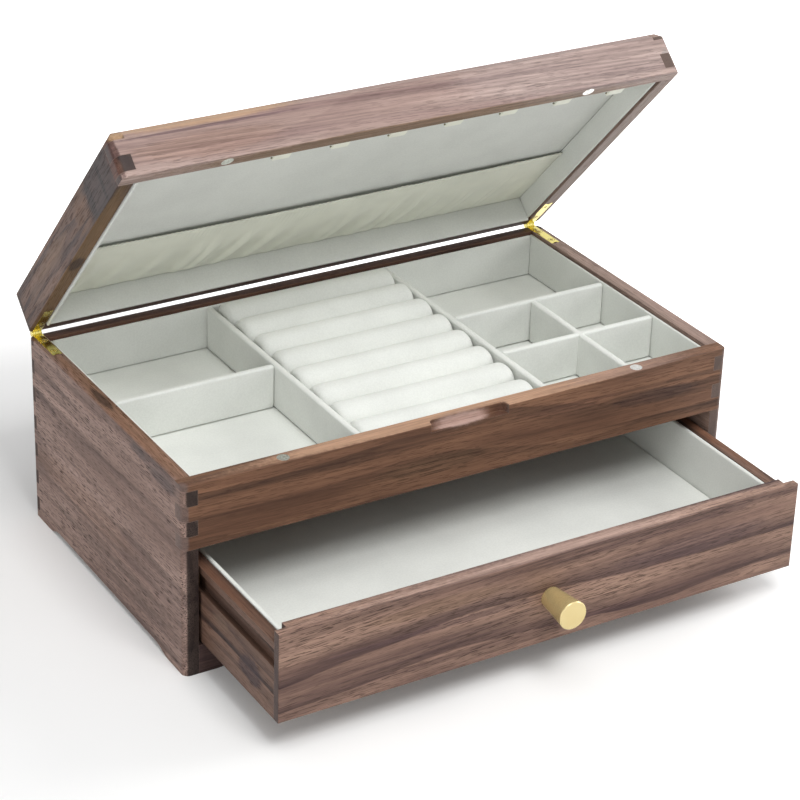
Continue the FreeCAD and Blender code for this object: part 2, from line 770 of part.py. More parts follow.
# ---------------------------------------------------------------------------
# Hinges
# ---------------------------------------------------------------------------
def make_leaf(name, sign, bottom, outer_knuckles):
    """A hinge leaf: a notched plate with one or two knuckles at its rear end.

    The plate's outer face is at TOP for the lower leaf and at RIM for the upper one.
    """
    low, high = mirrored(sign, LEAF_INNER, LEAF_OUTER)
    thickness = cell("leaf_thickness")
    body = slab(name, (low, LEAF_FRONT, bottom), (high, BACK, bottom + thickness))
    end = cell("knuckle_end")
    play = cell("knuckle_play")
    spans = [(low, low + end), (high - end, high)]
    if not outer_knuckles:
        spans = [(low + end + play, high - end - play)]
    radius = cell("knuckle_diameter") / 2
    for start, finish in spans:
        pad(body, "XY", bottom, thickness, [rectangle(start, finish, BACK, HINGE_Y)])
        pad(body, "YZ", start, finish - start, [(HINGE_Y, HINGE_Z, radius)])
    bore = cell("pin_diameter") / 2 + play
    pocket(body, "YZ", high, cell("leaf_width"), [(HINGE_Y, HINGE_Z, bore)])
    notch = cell("leaf_notch") / 2
    pocket(body, "XY", bottom + thickness, thickness, [(LEAF_X * sign, LEAF_FRONT, notch)])
    spots = [(LEAF_X * sign, y, SCREW_RADIUS) for y in SCREW_YS]
    pocket(body, "XY", bottom + thickness, thickness, spots)
    face = TOP if outer_knuckles else RIM
    wide = SIZES["screw_diameter"]
    chamfer(body, SCREW_CONE, lambda box: near(box.ZMin, face.value) and near(box.ZMax, face.value)
            and near(box.XLength, wide) and near(box.YLength, wide))


def make_hinge_pins():
    """The two hinge pins."""
    for word, sign in (("left", -1), ("right", 1)):
        low, high = mirrored(sign, LEAF_INNER, LEAF_OUTER)
        body = new_body(f"hinge_pin_{word}")
        pad(body, "YZ", low, high - low, [(HINGE_Y, HINGE_Z, cell("pin_diameter") / 2)])


def make_hinge_screws(name, face, upward):
    """Countersunk cross-slotted screws, two in each leaf, their heads flush with a face."""
    body = new_body(name)
    body.AllowCompound = True
    spots = [(LEAF_X * sign, y) for sign in (-1, 1) for y in SCREW_YS]
    length = cell("screw_length")
    low = face if upward else face - length
    pad(body, "XY", low, length, [(x, y, SCREW_RADIUS) for x, y in spots])
    head = new_sketch(body, "XY", face, [(x, y, SCREW_HEAD_RADIUS) for x, y in spots])
    cone = body.newObject("PartDesign::Pad", f"{name}_head")
    cone.Profile = head
    cone.Reversed = not upward
    bind(cone, "Length", SCREW_CONE)
    cone.TaperAngle = -SCREW_HEAD_ANGLE
    doc.recompute()
    half = cell("screw_slot") / 2
    reach = SCREW_RADIUS
    deep = cell("screw_slot_depth")
    level = face + deep if upward else face
    for across, along in ((half, reach), (reach, half)):
        pocket(body, "XY", level, deep,
               [rectangle(x - across, x + across, y - along, y + along) for x, y in spots])


# ---------------------------------------------------------------------------
# Drawer, drawn closed
# ---------------------------------------------------------------------------
def make_drawer_front():
    """The drawer front: a full-width lip with rebated ends for the sides."""
    body = slab("drawer_front", (-DRAWER_SIDE, FRONT, DRAWER_LOW),
                (DRAWER_SIDE, DRAWER_INNER_FRONT, DRAWER_TOP))
    fillet(body, cell("drawer_ease"),
           lambda box: near(box.YMin, FRONT.value) and near(box.YMax, FRONT.value))
    lip_back = FRONT + cell("drawer_lip")
    for sign in (-1, 1):
        low, high = mirrored(sign, DRAWER_INNER, DRAWER_SIDE)
        pocket(body, "XY", DRAWER_TOP, DRAWER_TOP - DRAWER_LOW,
               [rectangle(low, high, lip_back, DRAWER_INNER_FRONT)])
    play = cell("knob_hole_play") / 2
    pocket(body, "XZ", FRONT, cell("drawer_front"), [(0, KNOB_Z, cell("knob_screw") / 2 + play)])
    head = cell("knob_screw_head_height") + play
    pocket(body, "XZ", DRAWER_INNER_FRONT - head, head,
           [(0, KNOB_Z, cell("knob_screw_head") / 2 + play)])


def make_drawer_side(name, sign):
    """A drawer side, grooved outside for its runner and inside for the bottom."""
    low, high = mirrored(sign, DRAWER_INNER, DRAWER_SIDE)
    start = FRONT + cell("drawer_lip")
    body = slab(name, (low, start, DRAWER_LOW), (high, DRAWER_END, DRAWER_SIDE_TOP))
    groove_low, groove_high = mirrored(sign, DRAWER_SIDE - cell("runner_slot"), DRAWER_SIDE)
    pocket(body, "XY", GROOVE_TOP, GROOVE_TOP - GROOVE_BOTTOM,
           [rectangle(groove_low, groove_high, start, DRAWER_END)])
    seat_low, seat_high = mirrored(sign, DRAWER_INNER, DRAWER_INNER + cell("drawer_groove"))
    pocket(body, "XY", DRAWER_BOTTOM_TOP, cell("drawer_bottom"),
           [rectangle(seat_low, seat_high, DRAWER_INNER_FRONT, DRAWER_INNER_BACK)])


def make_drawer_back_and_bottom():
    """The drawer's back board and its bottom, held in the sides' grooves."""
    slab("drawer_back", (-DRAWER_INNER, DRAWER_INNER_BACK, DRAWER_LOW),
         (DRAWER_INNER, DRAWER_END, DRAWER_BACK_TOP))
    reach = DRAWER_INNER + cell("drawer_groove")
    slab("drawer_bottom", (-reach, DRAWER_INNER_FRONT, DRAWER_BOTTOM_LOW),
         (reach, DRAWER_INNER_BACK, DRAWER_BOTTOM_TOP))


def make_drawer_lining():
    """The velvet walls around the inside of the drawer and the velvet floor pad."""
    gap = cell("drawer_lining_gap")
    thick = cell("drawer_lining")
    outer_x = DRAWER_INNER - gap
    front = DRAWER_INNER_FRONT + gap
    back = DRAWER_INNER_BACK - gap
    walls = slab("drawer_lining_walls", (-outer_x, front, DRAWER_BOTTOM_TOP),
                 (outer_x, back, DRAWER_LINING_TOP))
    pocket(walls, "XY", DRAWER_LINING_TOP, DRAWER_LINING_TOP - DRAWER_BOTTOM_TOP,
           [rectangle(thick - outer_x, outer_x - thick, front + thick, back - thick)])
    slab("drawer_floor_pad", (thick - outer_x, front + thick, DRAWER_BOTTOM_TOP),
         (outer_x - thick, back - thick, DRAWER_BOTTOM_TOP + cell("drawer_pad")))


def make_turned(name, profile):
    """A turned piece about its own Z axis, from (radius, height) points."""
    body = new_body(name)
    sketch = new_sketch(body, "XZ", 0, [profile])
    feature = body.newObject("PartDesign::Revolution", f"{name}_turning")
    feature.Profile = sketch
    feature.ReferenceAxis = (sketch, ["V_Axis"])
    doc.recompute()
    return body


def make_knob():
    """The cone knob, wider at its face, with a blind bore for its screw."""
    bore = cell("knob_screw") / 2 + cell("knob_play")
    depth = cell("knob_screw_reach") + cell("knob_edge")
    edge = cell("knob_edge")
    length = cell("knob_length")
    face = cell("knob_face") / 2
    make_turned("knob", [(bore, 0), (cell("knob_base") / 2, 0), (face, length - edge),
                         (face - edge, length), (0, length), (0, depth), (bore, depth)])


def make_knob_screw():
    """The screw through the drawer front into the knob."""
    shank = cell("knob_screw") / 2
    head = cell("knob_screw_head") / 2
    low = -cell("drawer_front")
    neck = low + cell("knob_screw_head_height")
    body = make_turned("knob_screw", [(0, low), (head, low), (head, neck), (shank, neck),
                                      (shank, cell("knob_screw_reach")),
                                      (0, cell("knob_screw_reach"))])
    half = cell("screw_slot")
    deep = cell("knob_screw_head_height") / 2
    pocket(body, "XY", low + deep, deep, [rectangle(-head, head, -half, half)])


# ---------------------------------------------------------------------------
# Opening the lid and the drawer
# ---------------------------------------------------------------------------
def vector_text(x, y, z):
    """A vector as an expression."""
    parts = "; ".join(size_of(part).text for part in (x, y, z))
    return f"create(<<vector>>; {parts})"


def open_lid(body):
    """Turn a lid piece open about the hinge line."""
    turn = f"create(<<rotation>>; {vector_text(1, 0, 0)}; {(-cell('lid_open')).text})"
    base = vector_text(0, 0, 0)
    centre = vector_text(0, HINGE_Y, HINGE_Z)
    body.setExpression("Placement", f"create(<<placement>>; {base}; {turn}; {centre})")


def pull_drawer(body):
    """Slide a drawer piece forwards."""
    bind(body, "Placement.Base.y", -cell("drawer_out"))


def place_on_drawer_front(body):
    """Point a turned piece's axis out of the drawer front, and slide it forwards."""
    turn = f"create(<<rotation>>; {vector_text(1, 0, 0)}; {FACING_FORWARD})"
    base = vector_text(0, FRONT - cell("drawer_out"), KNOB_Z)
    body.setExpression("Placement", f"create(<<placement>>; {base}; {turn})")


# ---------------------------------------------------------------------------
# The whole object
# ---------------------------------------------------------------------------
make_side_board("side_left", -1)
make_side_board("side_right", 1)
make_back_board()
make_front_top_rail()
make_front_bottom_rail()
make_inner_boards()
make_runner("runner_left", -1)
make_runner("runner_right", 1)
make_drawer_stop()
make_magnets("box_magnet", TOP)
make_tray_lining()
make_main_dividers()
make_cross_dividers()
make_ring_rolls()
for side_word, side_sign in (("left", -1), ("right", 1)):
    make_leaf(f"hinge_lower_leaf_{side_word}", side_sign, LEAF_BOTTOM, True)
make_hinge_screws("hinge_lower_screws", TOP, False)
make_hinge_pins()

carcass_nodes = set(SHAPES)
make_lid_sides()
make_lid_front_and_back()
make_lid_panel()
make_lid_lining()
make_magnets("lid_magnet", RIM + cell("magnet_thickness"))
for side_word, side_sign in (("left", -1), ("right", 1)):
    make_leaf(f"hinge_upper_leaf_{side_word}", side_sign, RIM, False)
make_hinge_screws("hinge_upper_screws", RIM, True)
lid_nodes = set(SHAPES) - carcass_nodes
for node in sorted(lid_nodes):
    open_lid(SHAPES[node])

make_drawer_front()
make_drawer_side("drawer_left", -1)
make_drawer_side("drawer_right", 1)
make_drawer_back_and_bottom()
make_drawer_lining()
for node in sorted(set(SHAPES) - carcass_nodes - lid_nodes):
    pull_drawer(SHAPES[node])
make_knob()
make_knob_screw()
for node in ("knob", "knob_screw"):
    place_on_drawer_front(SHAPES[node])

doc.recompute()
for thing in doc.Objects:
    if {"Invalid", "Error"} & set(thing.State):
        raise RuntimeError(f"{thing.Label} failed: {thing.State}")
for node, body in SHAPES.items():
    if body.Shape.isNull() or not body.Shape.isValid() or not body.Shape.Solids:
        raise RuntimeError(f"{node} has no valid solid")
for node, body in SHAPES.items():
    body.Shape.exportStep(f"parts/{node}.step")
print(f"{len(SHAPES)} nodes written")
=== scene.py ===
"""Ring box with a drawer: its wood, velvet, satin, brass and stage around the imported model.

Metres. +X is to the right, +Y to the back and +Z up, and the origin is on the floor at the
centre of the carcass. Pieces of the lid are made with the lid shut, and their meshes are
then turned open with LID_OPEN.
"""
import json
import math

import bpy
from mathutils import Matrix, Vector, noise


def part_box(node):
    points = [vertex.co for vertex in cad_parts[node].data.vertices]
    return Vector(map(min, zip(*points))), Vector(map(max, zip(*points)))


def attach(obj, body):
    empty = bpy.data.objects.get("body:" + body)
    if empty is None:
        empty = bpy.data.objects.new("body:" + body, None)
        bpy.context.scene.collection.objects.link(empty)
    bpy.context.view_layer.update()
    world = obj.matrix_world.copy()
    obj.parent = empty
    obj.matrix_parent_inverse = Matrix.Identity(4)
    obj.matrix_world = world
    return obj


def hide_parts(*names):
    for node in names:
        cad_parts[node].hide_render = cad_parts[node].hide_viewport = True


bl_info = {
    "name": "Ring Box Maker",
    "version": (1, 0, 0),
    "blender": (4, 5, 0),
    "location": "View3D > Sidebar > Ring Box",
    "description": "Dresses a walnut ring box with velvet, satin and brass",
    "category": "Object",
}

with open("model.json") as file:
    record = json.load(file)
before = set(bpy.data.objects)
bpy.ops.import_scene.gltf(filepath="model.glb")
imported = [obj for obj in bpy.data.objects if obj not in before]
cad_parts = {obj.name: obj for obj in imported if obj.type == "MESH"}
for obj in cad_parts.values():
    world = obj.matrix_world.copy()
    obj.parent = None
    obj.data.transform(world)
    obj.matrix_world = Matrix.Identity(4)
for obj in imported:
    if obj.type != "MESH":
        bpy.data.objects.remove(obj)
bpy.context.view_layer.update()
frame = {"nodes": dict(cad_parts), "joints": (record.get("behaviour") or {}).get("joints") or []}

MM = 0.001
NODES = frame["nodes"]
LID_HINGE = next(joint for joint in frame["joints"] if joint["name"] == "lid_hinge")
HINGE_LINE = Vector(LID_HINGE["pos_m"])
LID_ANGLE = -math.radians(LID_HINGE["range_deg"][0])
LID_OPEN = (Matrix.Translation(HINGE_LINE)
            @ Matrix.Rotation(LID_ANGLE, 4, Vector(LID_HINGE["axis"]))
            @ Matrix.Translation(-HINGE_LINE))
LID_SHUT = LID_OPEN.inverted()
AXES = {"X": Vector((1, 0, 0)), "Y": Vector((0, 1, 0)), "Z": Vector((0, 0, 1))}


def shut_box(node):
    """Lowest and highest corner of a lid node with the lid shut."""
    places = [LID_SHUT @ vertex.co for vertex in NODES[node].data.vertices]
    low = Vector([min(place[axis] for place in places) for axis in range(3)])
    high = Vector([max(place[axis] for place in places) for axis in range(3)])
    return low, high


def linear(red, green, blue):
    """A colour written as 0 to 255 on screen, as the shader's own numbers."""
    shades = []
    for part in (red, green, blue):
        share = part / 255
        shades.append(share / 12.92 if share <= 0.04045 else ((share + 0.055) / 1.055) ** 2.4)
    return (*shades, 1.0)


def once(maker):
    """Keep what a maker returns, and give it again each later time."""
    kept = []

    def keeper(*values):
        if not kept:
            kept.append(maker(*values))
        return kept[0]
    return keeper


# ---------------------------------------------------------------------------
# Settings a user would change
# ---------------------------------------------------------------------------
def colour_setting(name, description, red, green, blue):
    """A colour property with its default written as 0 to 255 on screen."""
    return bpy.props.FloatVectorProperty(
        name=name, description=description, subtype="COLOR", size=4, min=0.0, max=1.0,
        default=linear(red, green, blue))


def length_setting(name, description, millimetres, highest=50.0):
    """A length property with its default in millimetres."""
    return bpy.props.FloatProperty(
        name=name, description=description, subtype="DISTANCE", unit="LENGTH",
        default=millimetres * MM, min=0.0, max=highest * MM, precision=5)


def share_setting(name, description, value, highest=1.0):
    """A plain factor."""
    return bpy.props.FloatProperty(
        name=name, description=description, subtype="FACTOR", default=value, min=0.0,
        max=highest)


def power_setting(name, description, watts):
    """A lamp's power."""
    return bpy.props.FloatProperty(
        name=name, description=f"Power of the lamp {description}, in watts", default=watts)


class WalnutSettings(bpy.types.PropertyGroup):
    """Scale and surface of the walnut."""

    ring: length_setting("Ring spacing", "Distance between growth rings", 6.5)
    sheen: share_setting("Roughness", "Roughness of the oiled surface", 0.48)
    arris: length_setting("Arris", "Rounding seen on sharp edges", 0.45)


class VelvetSettings(bpy.types.PropertyGroup):
    """Colour and padding of the velvet."""

    colour: colour_setting("Velvet", "Colour of the pile", 226, 228, 223)
    pile: length_setting("Pile", "Size of the pile's mottling", 0.9)
    fold: length_setting("Turned edge", "Rounding where velvet wraps a board", 1.2)
    liner_fold: length_setting("Liner edge", "Rounding of a thin liner's edges", 0.55)
    tuck: length_setting("Tuck", "Gap where a floor pad is tucked in", 0.06)
    cell: length_setting("Mesh cell", "Size of the mesh's faces on velvet", 3.0)
    proud: length_setting("Proud liner", "How far the lid's left liner stands out", 1.9)
    wave: length_setting("Waviness", "How far velvet strays from flat", 0.12)


class RollSettings(bpy.types.PropertyGroup):
    """Shape of the ring rolls."""

    around: bpy.props.IntProperty(
        name="Faces around", description="Faces around one roll", default=40, min=12, max=96)
    along: bpy.props.IntProperty(
        name="Faces along", description="Faces along one roll", default=64, min=8, max=200)
    squareness: bpy.props.FloatProperty(
        name="Squareness", description="Exponent of the roll's rounded ends", default=36.0,
        min=2.0, max=60.0)
    swell: length_setting("Swell", "How far the stuffing may push the cloth", 0.7)
    slack: length_setting("Slack", "How far a blank is smaller than its roll", 0.5)
    pressure: bpy.props.FloatProperty(
        name="Stuffing", description="Pressure inside a roll", default=4.0, min=0.0, max=20.0)
    frames: bpy.props.IntProperty(
        name="Frames", description="Frames of cloth simulation", default=16, min=1, max=60)


class PocketSettings(bpy.types.PropertyGroup):
    """Folds of the lid's satin pocket."""

    colour: colour_setting("Satin", "Colour of the pocket's cloth", 240, 241, 227)
    cloth: length_setting("Cloth", "Thickness of the cloth", 0.5)
    hem: length_setting("Hem", "How far the hem stands off the lining", 0.6)
    gape: length_setting("Gape", "How much further it stands off in the middle", 1.1)
    sag: length_setting("Sag", "How far the cloth bellies out behind the hem", 1.2)
    fold: length_setting("Fold depth", "Depth of the slanted folds", 3.4)
    fold_width: length_setting("Fold width", "Distance between folds", 15.0)
    pucker: length_setting("Pucker", "Depth of the small gathers at the hem", 0.3)
    pucker_width: length_setting("Pucker width", "Distance between the small gathers", 2.4)
    lean: length_setting("Lean", "How far folds drift left on their way back", 9.0)


class BrassSettings(bpy.types.PropertyGroup):
    """Colour and polish of the brass."""

    colour: colour_setting("Brass", "Colour of the knob", 226, 206, 150)
    leaf: colour_setting("Hinge brass", "Colour of the hinges", 238, 224, 132)
    knob: share_setting("Knob roughness", "Roughness of the turned knob", 0.24)
    shine: share_setting("Knob metal", "How metallic the knob's finish is", 0.6)
    hinge: share_setting("Hinge roughness", "Roughness of the hinges", 0.16)


class StageSettings(bpy.types.PropertyGroup):
    """Lamps, floor and backdrop."""

    floor: colour_setting("Floor", "Colour of the floor", 236, 236, 236)
    world: share_setting("Sky", "Strength of the light from above, all round", 0.4, 3.0)
    horizon: share_setting("Horizon", "Strength of the light from low down", 0.14, 3.0)
    top: power_setting("Top lamp", "overhead", 6.8)
    left: power_setting("Left lamp", "at the left", 2.9)
    right: power_setting("Right lamp", "at the right", 5.6)
    front: power_setting("Front lamp", "in front", 10.8)
    lift: share_setting("Floor lift", "How much the floor is lifted to white", 0.1)


SETTINGS = {
    "ring_box_walnut": WalnutSettings,
    "ring_box_velvet": VelvetSettings,
    "ring_box_rolls": RollSettings,
    "ring_box_pocket": PocketSettings,
    "ring_box_brass": BrassSettings,
    "ring_box_stage": StageSettings,
}


# ---------------------------------------------------------------------------
# Wiring shaders
# ---------------------------------------------------------------------------
class Wiring:
    """Adds nodes to one tree and joins their sockets."""

    def __init__(self, tree):
        self.tree = tree

    def feed(self, socket, value):
        """Join a socket to another one, or give it a plain value."""
        if isinstance(value, bpy.types.NodeSocket):
            self.tree.links.new(value, socket)
        else:
            socket.default_value = value

    def fill(self, node, values):
        """Give a node its inputs by name or number."""
        for key, value in values.items():
            self.feed(node.inputs[key], value)

    def add(self, kind, values=(), **settings):
        """A node with its settings and, by name or number, its inputs."""
        made = self.tree.nodes.new(kind)
        for name, setting in settings.items():
            setattr(made, name, setting)
        self.fill(made, dict(values))
        return made

    def maths(self, operation, one, other=0.0, clamp=False):
        """The result of a Math node."""
        made = self.add("ShaderNodeMath", {0: one, 1: other}, operation=operation,
                        use_clamp=clamp)
        return made.outputs[0]

    def plus(self, one, other, clamp=False):
        """A sum."""
        return self.maths("ADD", one, other, clamp)

    def minus(self, one, other):
        """A difference."""
        return self.maths("SUBTRACT", one, other)

    def times(self, one, other):
        """A product."""
        return self.maths("MULTIPLY", one, other)

    def vector(self, operation, one, other):
        """The vector from a Vector Math node."""
        made = self.add("ShaderNodeVectorMath", {0: one, 1: other}, operation=operation)
        return made.outputs[0]

    def dot(self, one, other):
        """The dot product of two vectors."""
        made = self.add("ShaderNodeVectorMath", {0: one, 1: other}, operation="DOT_PRODUCT")
        return made.outputs["Value"]

    def length(self, vector):
        """How long a vector is."""
        made = self.add("ShaderNodeVectorMath", {0: vector}, operation="LENGTH")
        return made.outputs["Value"]

    def split(self, vector):
        """The three parts of a vector."""
        return self.add("ShaderNodeSeparateXYZ", {0: vector}).outputs

    def grey(self, value):
        """One value as red, green and blue."""
        made = self.add("ShaderNodeCombineXYZ", {"X": value, "Y": value, "Z": value})
        return made.outputs[0]

    def place(self):
        """The place on the object."""
        return self.add("ShaderNodeTexCoord").outputs["Object"]

    def blend(self, share, one, other, blend_type="MIX"):
        """A mix of two colours."""
        made = self.add("ShaderNodeMix", data_type="RGBA", blend_type=blend_type,
                        clamp_factor=True)
        sockets = {socket.identifier: socket for socket in made.inputs}
        self.feed(sockets["Factor_Float"], share)
        self.feed(sockets["A_Color"], one)
        self.feed(sockets["B_Color"], other)
        return next(out for out in made.outputs if out.identifier == "Result_Color")

    def noise(self, vector, scale=1.0, detail=2.0, roughness=0.5):
        """The value of a Noise Texture."""
        made = self.add("ShaderNodeTexNoise", {"Vector": vector, "Scale": scale,
                                               "Detail": detail, "Roughness": roughness})
        return made.outputs[0]

    def stretch(self, vector, scale, move=(0.0, 0.0, 0.0)):
        """A vector scaled and moved by a Mapping node."""
        made = self.add("ShaderNodeMapping",
                        {"Vector": vector, "Scale": scale, "Location": move})
        return made.outputs[0]

    def ease(self, value, low, high, start=0.0, end=1.0):
        """A value eased between two limits."""
        made = self.add("ShaderNodeMapRange",
                        {"Value": value, "From Min": low, "From Max": high, "To Min": start,
                         "To Max": end}, interpolation_type="SMOOTHSTEP")
        return made.outputs[0]


def new_group(name, inputs, outputs):
    """An empty shader node group, its wiring, its inputs by name and its output node."""
    tree = bpy.data.node_groups.new(name, "ShaderNodeTree")
    for label, (kind, default) in inputs.items():
        socket = tree.interface.new_socket(label, in_out="INPUT", socket_type=kind)
        if default is not None:
            socket.default_value = default
    for label, kind in outputs.items():
        tree.interface.new_socket(label, in_out="OUTPUT", socket_type=kind)
    wiring = Wiring(tree)
    given = wiring.add("NodeGroupInput")
    result = wiring.add("NodeGroupOutput")
    return tree, wiring, given.outputs, result


def use_group(wiring, tree, values):
    """A copy of a node group in a material, with its inputs set."""
    made = wiring.add("ShaderNodeGroup")
    made.node_tree = tree
    wiring.fill(made, values)
    return made.outputs


FLOAT, COLOUR, VECTOR = "NodeSocketFloat", "NodeSocketColor", "NodeSocketVector"


@once
def walnut_group():
    """Growth rings round a slanted heart, broad streaks, fibres and open pores.

    The vector has the grain along its X, and its Y and Z measure from the tree's heart.
    """
    tree, wire, given, result = new_group(
        "Walnut figure",
        {"Vector": (VECTOR, None), "Pale": (COLOUR, None), "Brown": (COLOUR, None),
         "Dark": (COLOUR, None), "Ring spacing": (FLOAT, 0.0065), "Figure": (FLOAT, 1.0),
         "Ring strength": (FLOAT, 0.5), "Pores": (FLOAT, 0.55), "End grain": (FLOAT, 0.0),
         "End colour": (COLOUR, None), "Roughness": (FLOAT, 0.42)},
        {"Color": COLOUR, "Grain": COLOUR, "Roughness": FLOAT, "Height": FLOAT})
    vector = given["Vector"]
    sway = wire.noise(wire.stretch(vector, (5.0, 14.0, 14.0)))
    wobble = wire.noise(wire.stretch(vector, (22.0, 60.0, 60.0), (3.1, 1.7, 0.4)), detail=3.0)
    apart = wire.split(vector)
    across = wire.add("ShaderNodeCombineXYZ", {"Y": apart["Y"], "Z": apart["Z"]}).outputs[0]
    radius = wire.length(across)
    drift = wire.times(wire.minus(sway, 0.5), 0.05)
    tremble = wire.times(wire.minus(wobble, 0.5), 0.006)
    bent = wire.times(wire.plus(drift, tremble), given["Figure"])
    rings = wire.maths("DIVIDE", wire.plus(radius, bent), given["Ring spacing"])
    phase = wire.maths("FRACT", rings)
    late = wire.times(wire.ease(phase, 0.35, 0.93), wire.ease(phase, 1.0, 0.94))
    number = wire.add("ShaderNodeCombineXYZ", {"X": wire.maths("FLOOR", rings)}).outputs[0]
    mood = wire.add("ShaderNodeTexWhiteNoise", {"Vector": number}).outputs["Value"]
    late = wire.times(late, wire.ease(mood, 0.0, 1.0, 0.25, 1.0))

    cloud = wire.noise(wire.stretch(vector, (9.0, 55.0, 55.0), (7.0, 2.0, 5.0)), detail=3.0)
    streak = wire.noise(wire.stretch(vector, (5.0, 190.0, 190.0), (1.0, 8.0, 3.0)), detail=5.0)
    line = wire.noise(wire.stretch(vector, (14.0, 820.0, 820.0), (5.0, 5.0, 1.0)), detail=3.0)
    fibre = wire.noise(wire.stretch(vector, (60.0, 2600.0, 2600.0)), roughness=0.6)
    dash = wire.noise(wire.stretch(vector, (150.0, 2300.0, 2300.0), (2.0, 4.0, 9.0)))
    pore = wire.ease(dash, 0.52, 0.64)
    pore = wire.times(pore, wire.ease(cloud, 0.3, 0.62, 0.35, 1.0))

    colour = wire.blend(wire.ease(cloud, 0.32, 0.68), given["Brown"], given["Pale"])
    shade = wire.plus(wire.times(late, given["Ring strength"]),
                      wire.times(wire.ease(streak, 0.48, 0.7), 0.5), clamp=True)
    colour = wire.blend(shade, colour, given["Dark"])
    tone = wire.plus(wire.ease(fibre, 0.25, 0.75, 0.9, 1.08),
                     wire.ease(line, 0.3, 0.7, -0.14, 0.12))
    bright = wire.grey(tone)
    colour = wire.blend(1.0, colour, bright, "MULTIPLY")
    pit = wire.times(pore, given["Pores"])
    colour = wire.blend(pit, colour, linear(48, 34, 30))
    colour = wire.blend(wire.times(given["End grain"], 0.85), colour, given["End colour"])
    rough = wire.plus(given["Roughness"], wire.times(wire.minus(fibre, 0.5), 0.18))
    wire.fill(result, {
        "Color": colour,
        "Grain": wire.blend(wire.times(pit, 0.6), bright, (0.25, 0.22, 0.22, 1.0)),
        "Roughness": wire.plus(rough, wire.times(pore, 0.2)),
        "Height": wire.minus(wire.times(line, 0.35), pore)})
    return tree


@once
def stain_and_light_group():
    """A soft mark round one place, with a wandering outline, for stains and for painted light
    and shade.
    """
    tree, wire, given, result = new_group(
        "Stain", {"Vector": (VECTOR, None), "Place": (VECTOR, None),
                  "Reach": (VECTOR, None), "Wander": (FLOAT, 0.5)}, {"Mask": FLOAT})
    from_place = wire.vector("SUBTRACT", given["Vector"], given["Place"])
    scaled = wire.vector("DIVIDE", from_place, given["Reach"])
    coarse = wire.noise(scaled, scale=1.6, detail=3.0)
    fine = wire.noise(given["Vector"], scale=420.0)
    bend = wire.plus(wire.minus(coarse, 0.5), wire.times(wire.minus(fine, 0.5), 0.5))
    away = wire.plus(wire.length(scaled), wire.times(bend, given["Wander"]))
    wire.fill(result, {"Mask": wire.ease(away, 0.55, 1.05, 1.0, 0.0)})
    return tree


@once
def arris_group():
    """Finds sharp edges: a mask for edge wear and for painted light on edges, and a normal that
    rounds them.
    """
    tree, wire, given, result = new_group(
        "Worn arris", {"Width": (FLOAT, 0.0005)}, {"Mask": FLOAT, "Normal": VECTOR})
    rounded = wire.add("ShaderNodeBevel", {"Radius": given["Width"]}, samples=4).outputs[0]
    flat = wire.add("ShaderNodeNewGeometry").outputs["Normal"]
    turned = wire.minus(1.0, wire.dot(rounded, flat))
    wire.fill(result, {"Mask": wire.ease(turned, 0.02, 0.25), "Normal": rounded})
    return tree


@once
def pile_group():
    """Velvet pile: soft brushed patches and a fine mottle."""
    tree, wire, given, result = new_group(
        "Velvet pile",
        {"Vector": (VECTOR, None), "Color": (COLOUR, None), "Pile size": (FLOAT, 0.0009)},
        {"Color": COLOUR, "Roughness": FLOAT, "Height": FLOAT})
    vector = given["Vector"]
    brushed = wire.noise(wire.stretch(vector, (34.0, 34.0, 34.0)), detail=3.0)
    scale = wire.maths("DIVIDE", 1.0, given["Pile size"])
    mottle = wire.noise(vector, scale=scale, detail=3.0, roughness=0.7)
    tips = wire.noise(vector, scale=wire.times(scale, 3.0))
    tone = wire.plus(wire.ease(brushed, 0.3, 0.7, 0.95, 1.02),
                     wire.ease(mottle, 0.3, 0.7, -0.035, 0.03))
    wire.fill(result, {
        "Color": wire.blend(1.0, given["Color"], wire.grey(tone), "MULTIPLY"),
        "Roughness": wire.ease(mottle, 0.2, 0.8, 0.86, 1.0),
        "Height": wire.plus(wire.times(mottle, 0.6), tips)})
    return tree


@once
def satin_group():
    """A fine weave with a soft crease tone for the pocket's cloth."""
    tree, wire, given, result = new_group(
        "Pocket cloth", {"Vector": (VECTOR, None), "Color": (COLOUR, None)},
        {"Color": COLOUR, "Roughness": FLOAT, "Height": FLOAT})
    vector = given["Vector"]
    patch = wire.noise(wire.stretch(vector, (60.0, 60.0, 60.0)), detail=3.0)
    threads = {"Vector": vector, "Scale": 620.0, "Distortion": 0.6, "Detail": 1.0}
    warp, weft = (wire.add("ShaderNodeTexWave", threads, bands_direction=way).outputs[1]
                  for way in "XY")
    weave = wire.maths("MAXIMUM", warp, weft)
    tone = wire.plus(wire.ease(patch, 0.3, 0.7, 0.95, 1.01), wire.times(weave, 0.02))
    wire.fill(result, {
        "Color": wire.blend(1.0, given["Color"], wire.grey(tone), "MULTIPLY"),
        "Roughness": wire.ease(weave, 0.0, 1.0, 0.62, 0.5), "Height": weave})
    return tree


@once
def turned_group():
    """Fine tool lines round a turned or drawn metal part."""
    tree, wire, given, result = new_group(
        "Tool lines", {"Distance": (FLOAT, 0.0), "Roughness": (FLOAT, 0.25)},
        {"Roughness": FLOAT, "Height": FLOAT})
    along = wire.add("ShaderNodeCombineXYZ", {"X": given["Distance"]}).outputs[0]
    lines = wire.noise(along, scale=9000.0, detail=3.0, roughness=0.7)
    rough = wire.plus(given["Roughness"], wire.ease(lines, 0.3, 0.7, -0.05, 0.09))
    wire.fill(result, {"Roughness": rough, "Height": lines})
    return tree


def new_material(name):
    """A material with nodes, its wiring and its Principled shader."""
    material = bpy.data.materials.new(name)
    material.use_nodes = True
    wiring = Wiring(material.node_tree)
    return material, wiring, material.node_tree.nodes["Principled BSDF"]


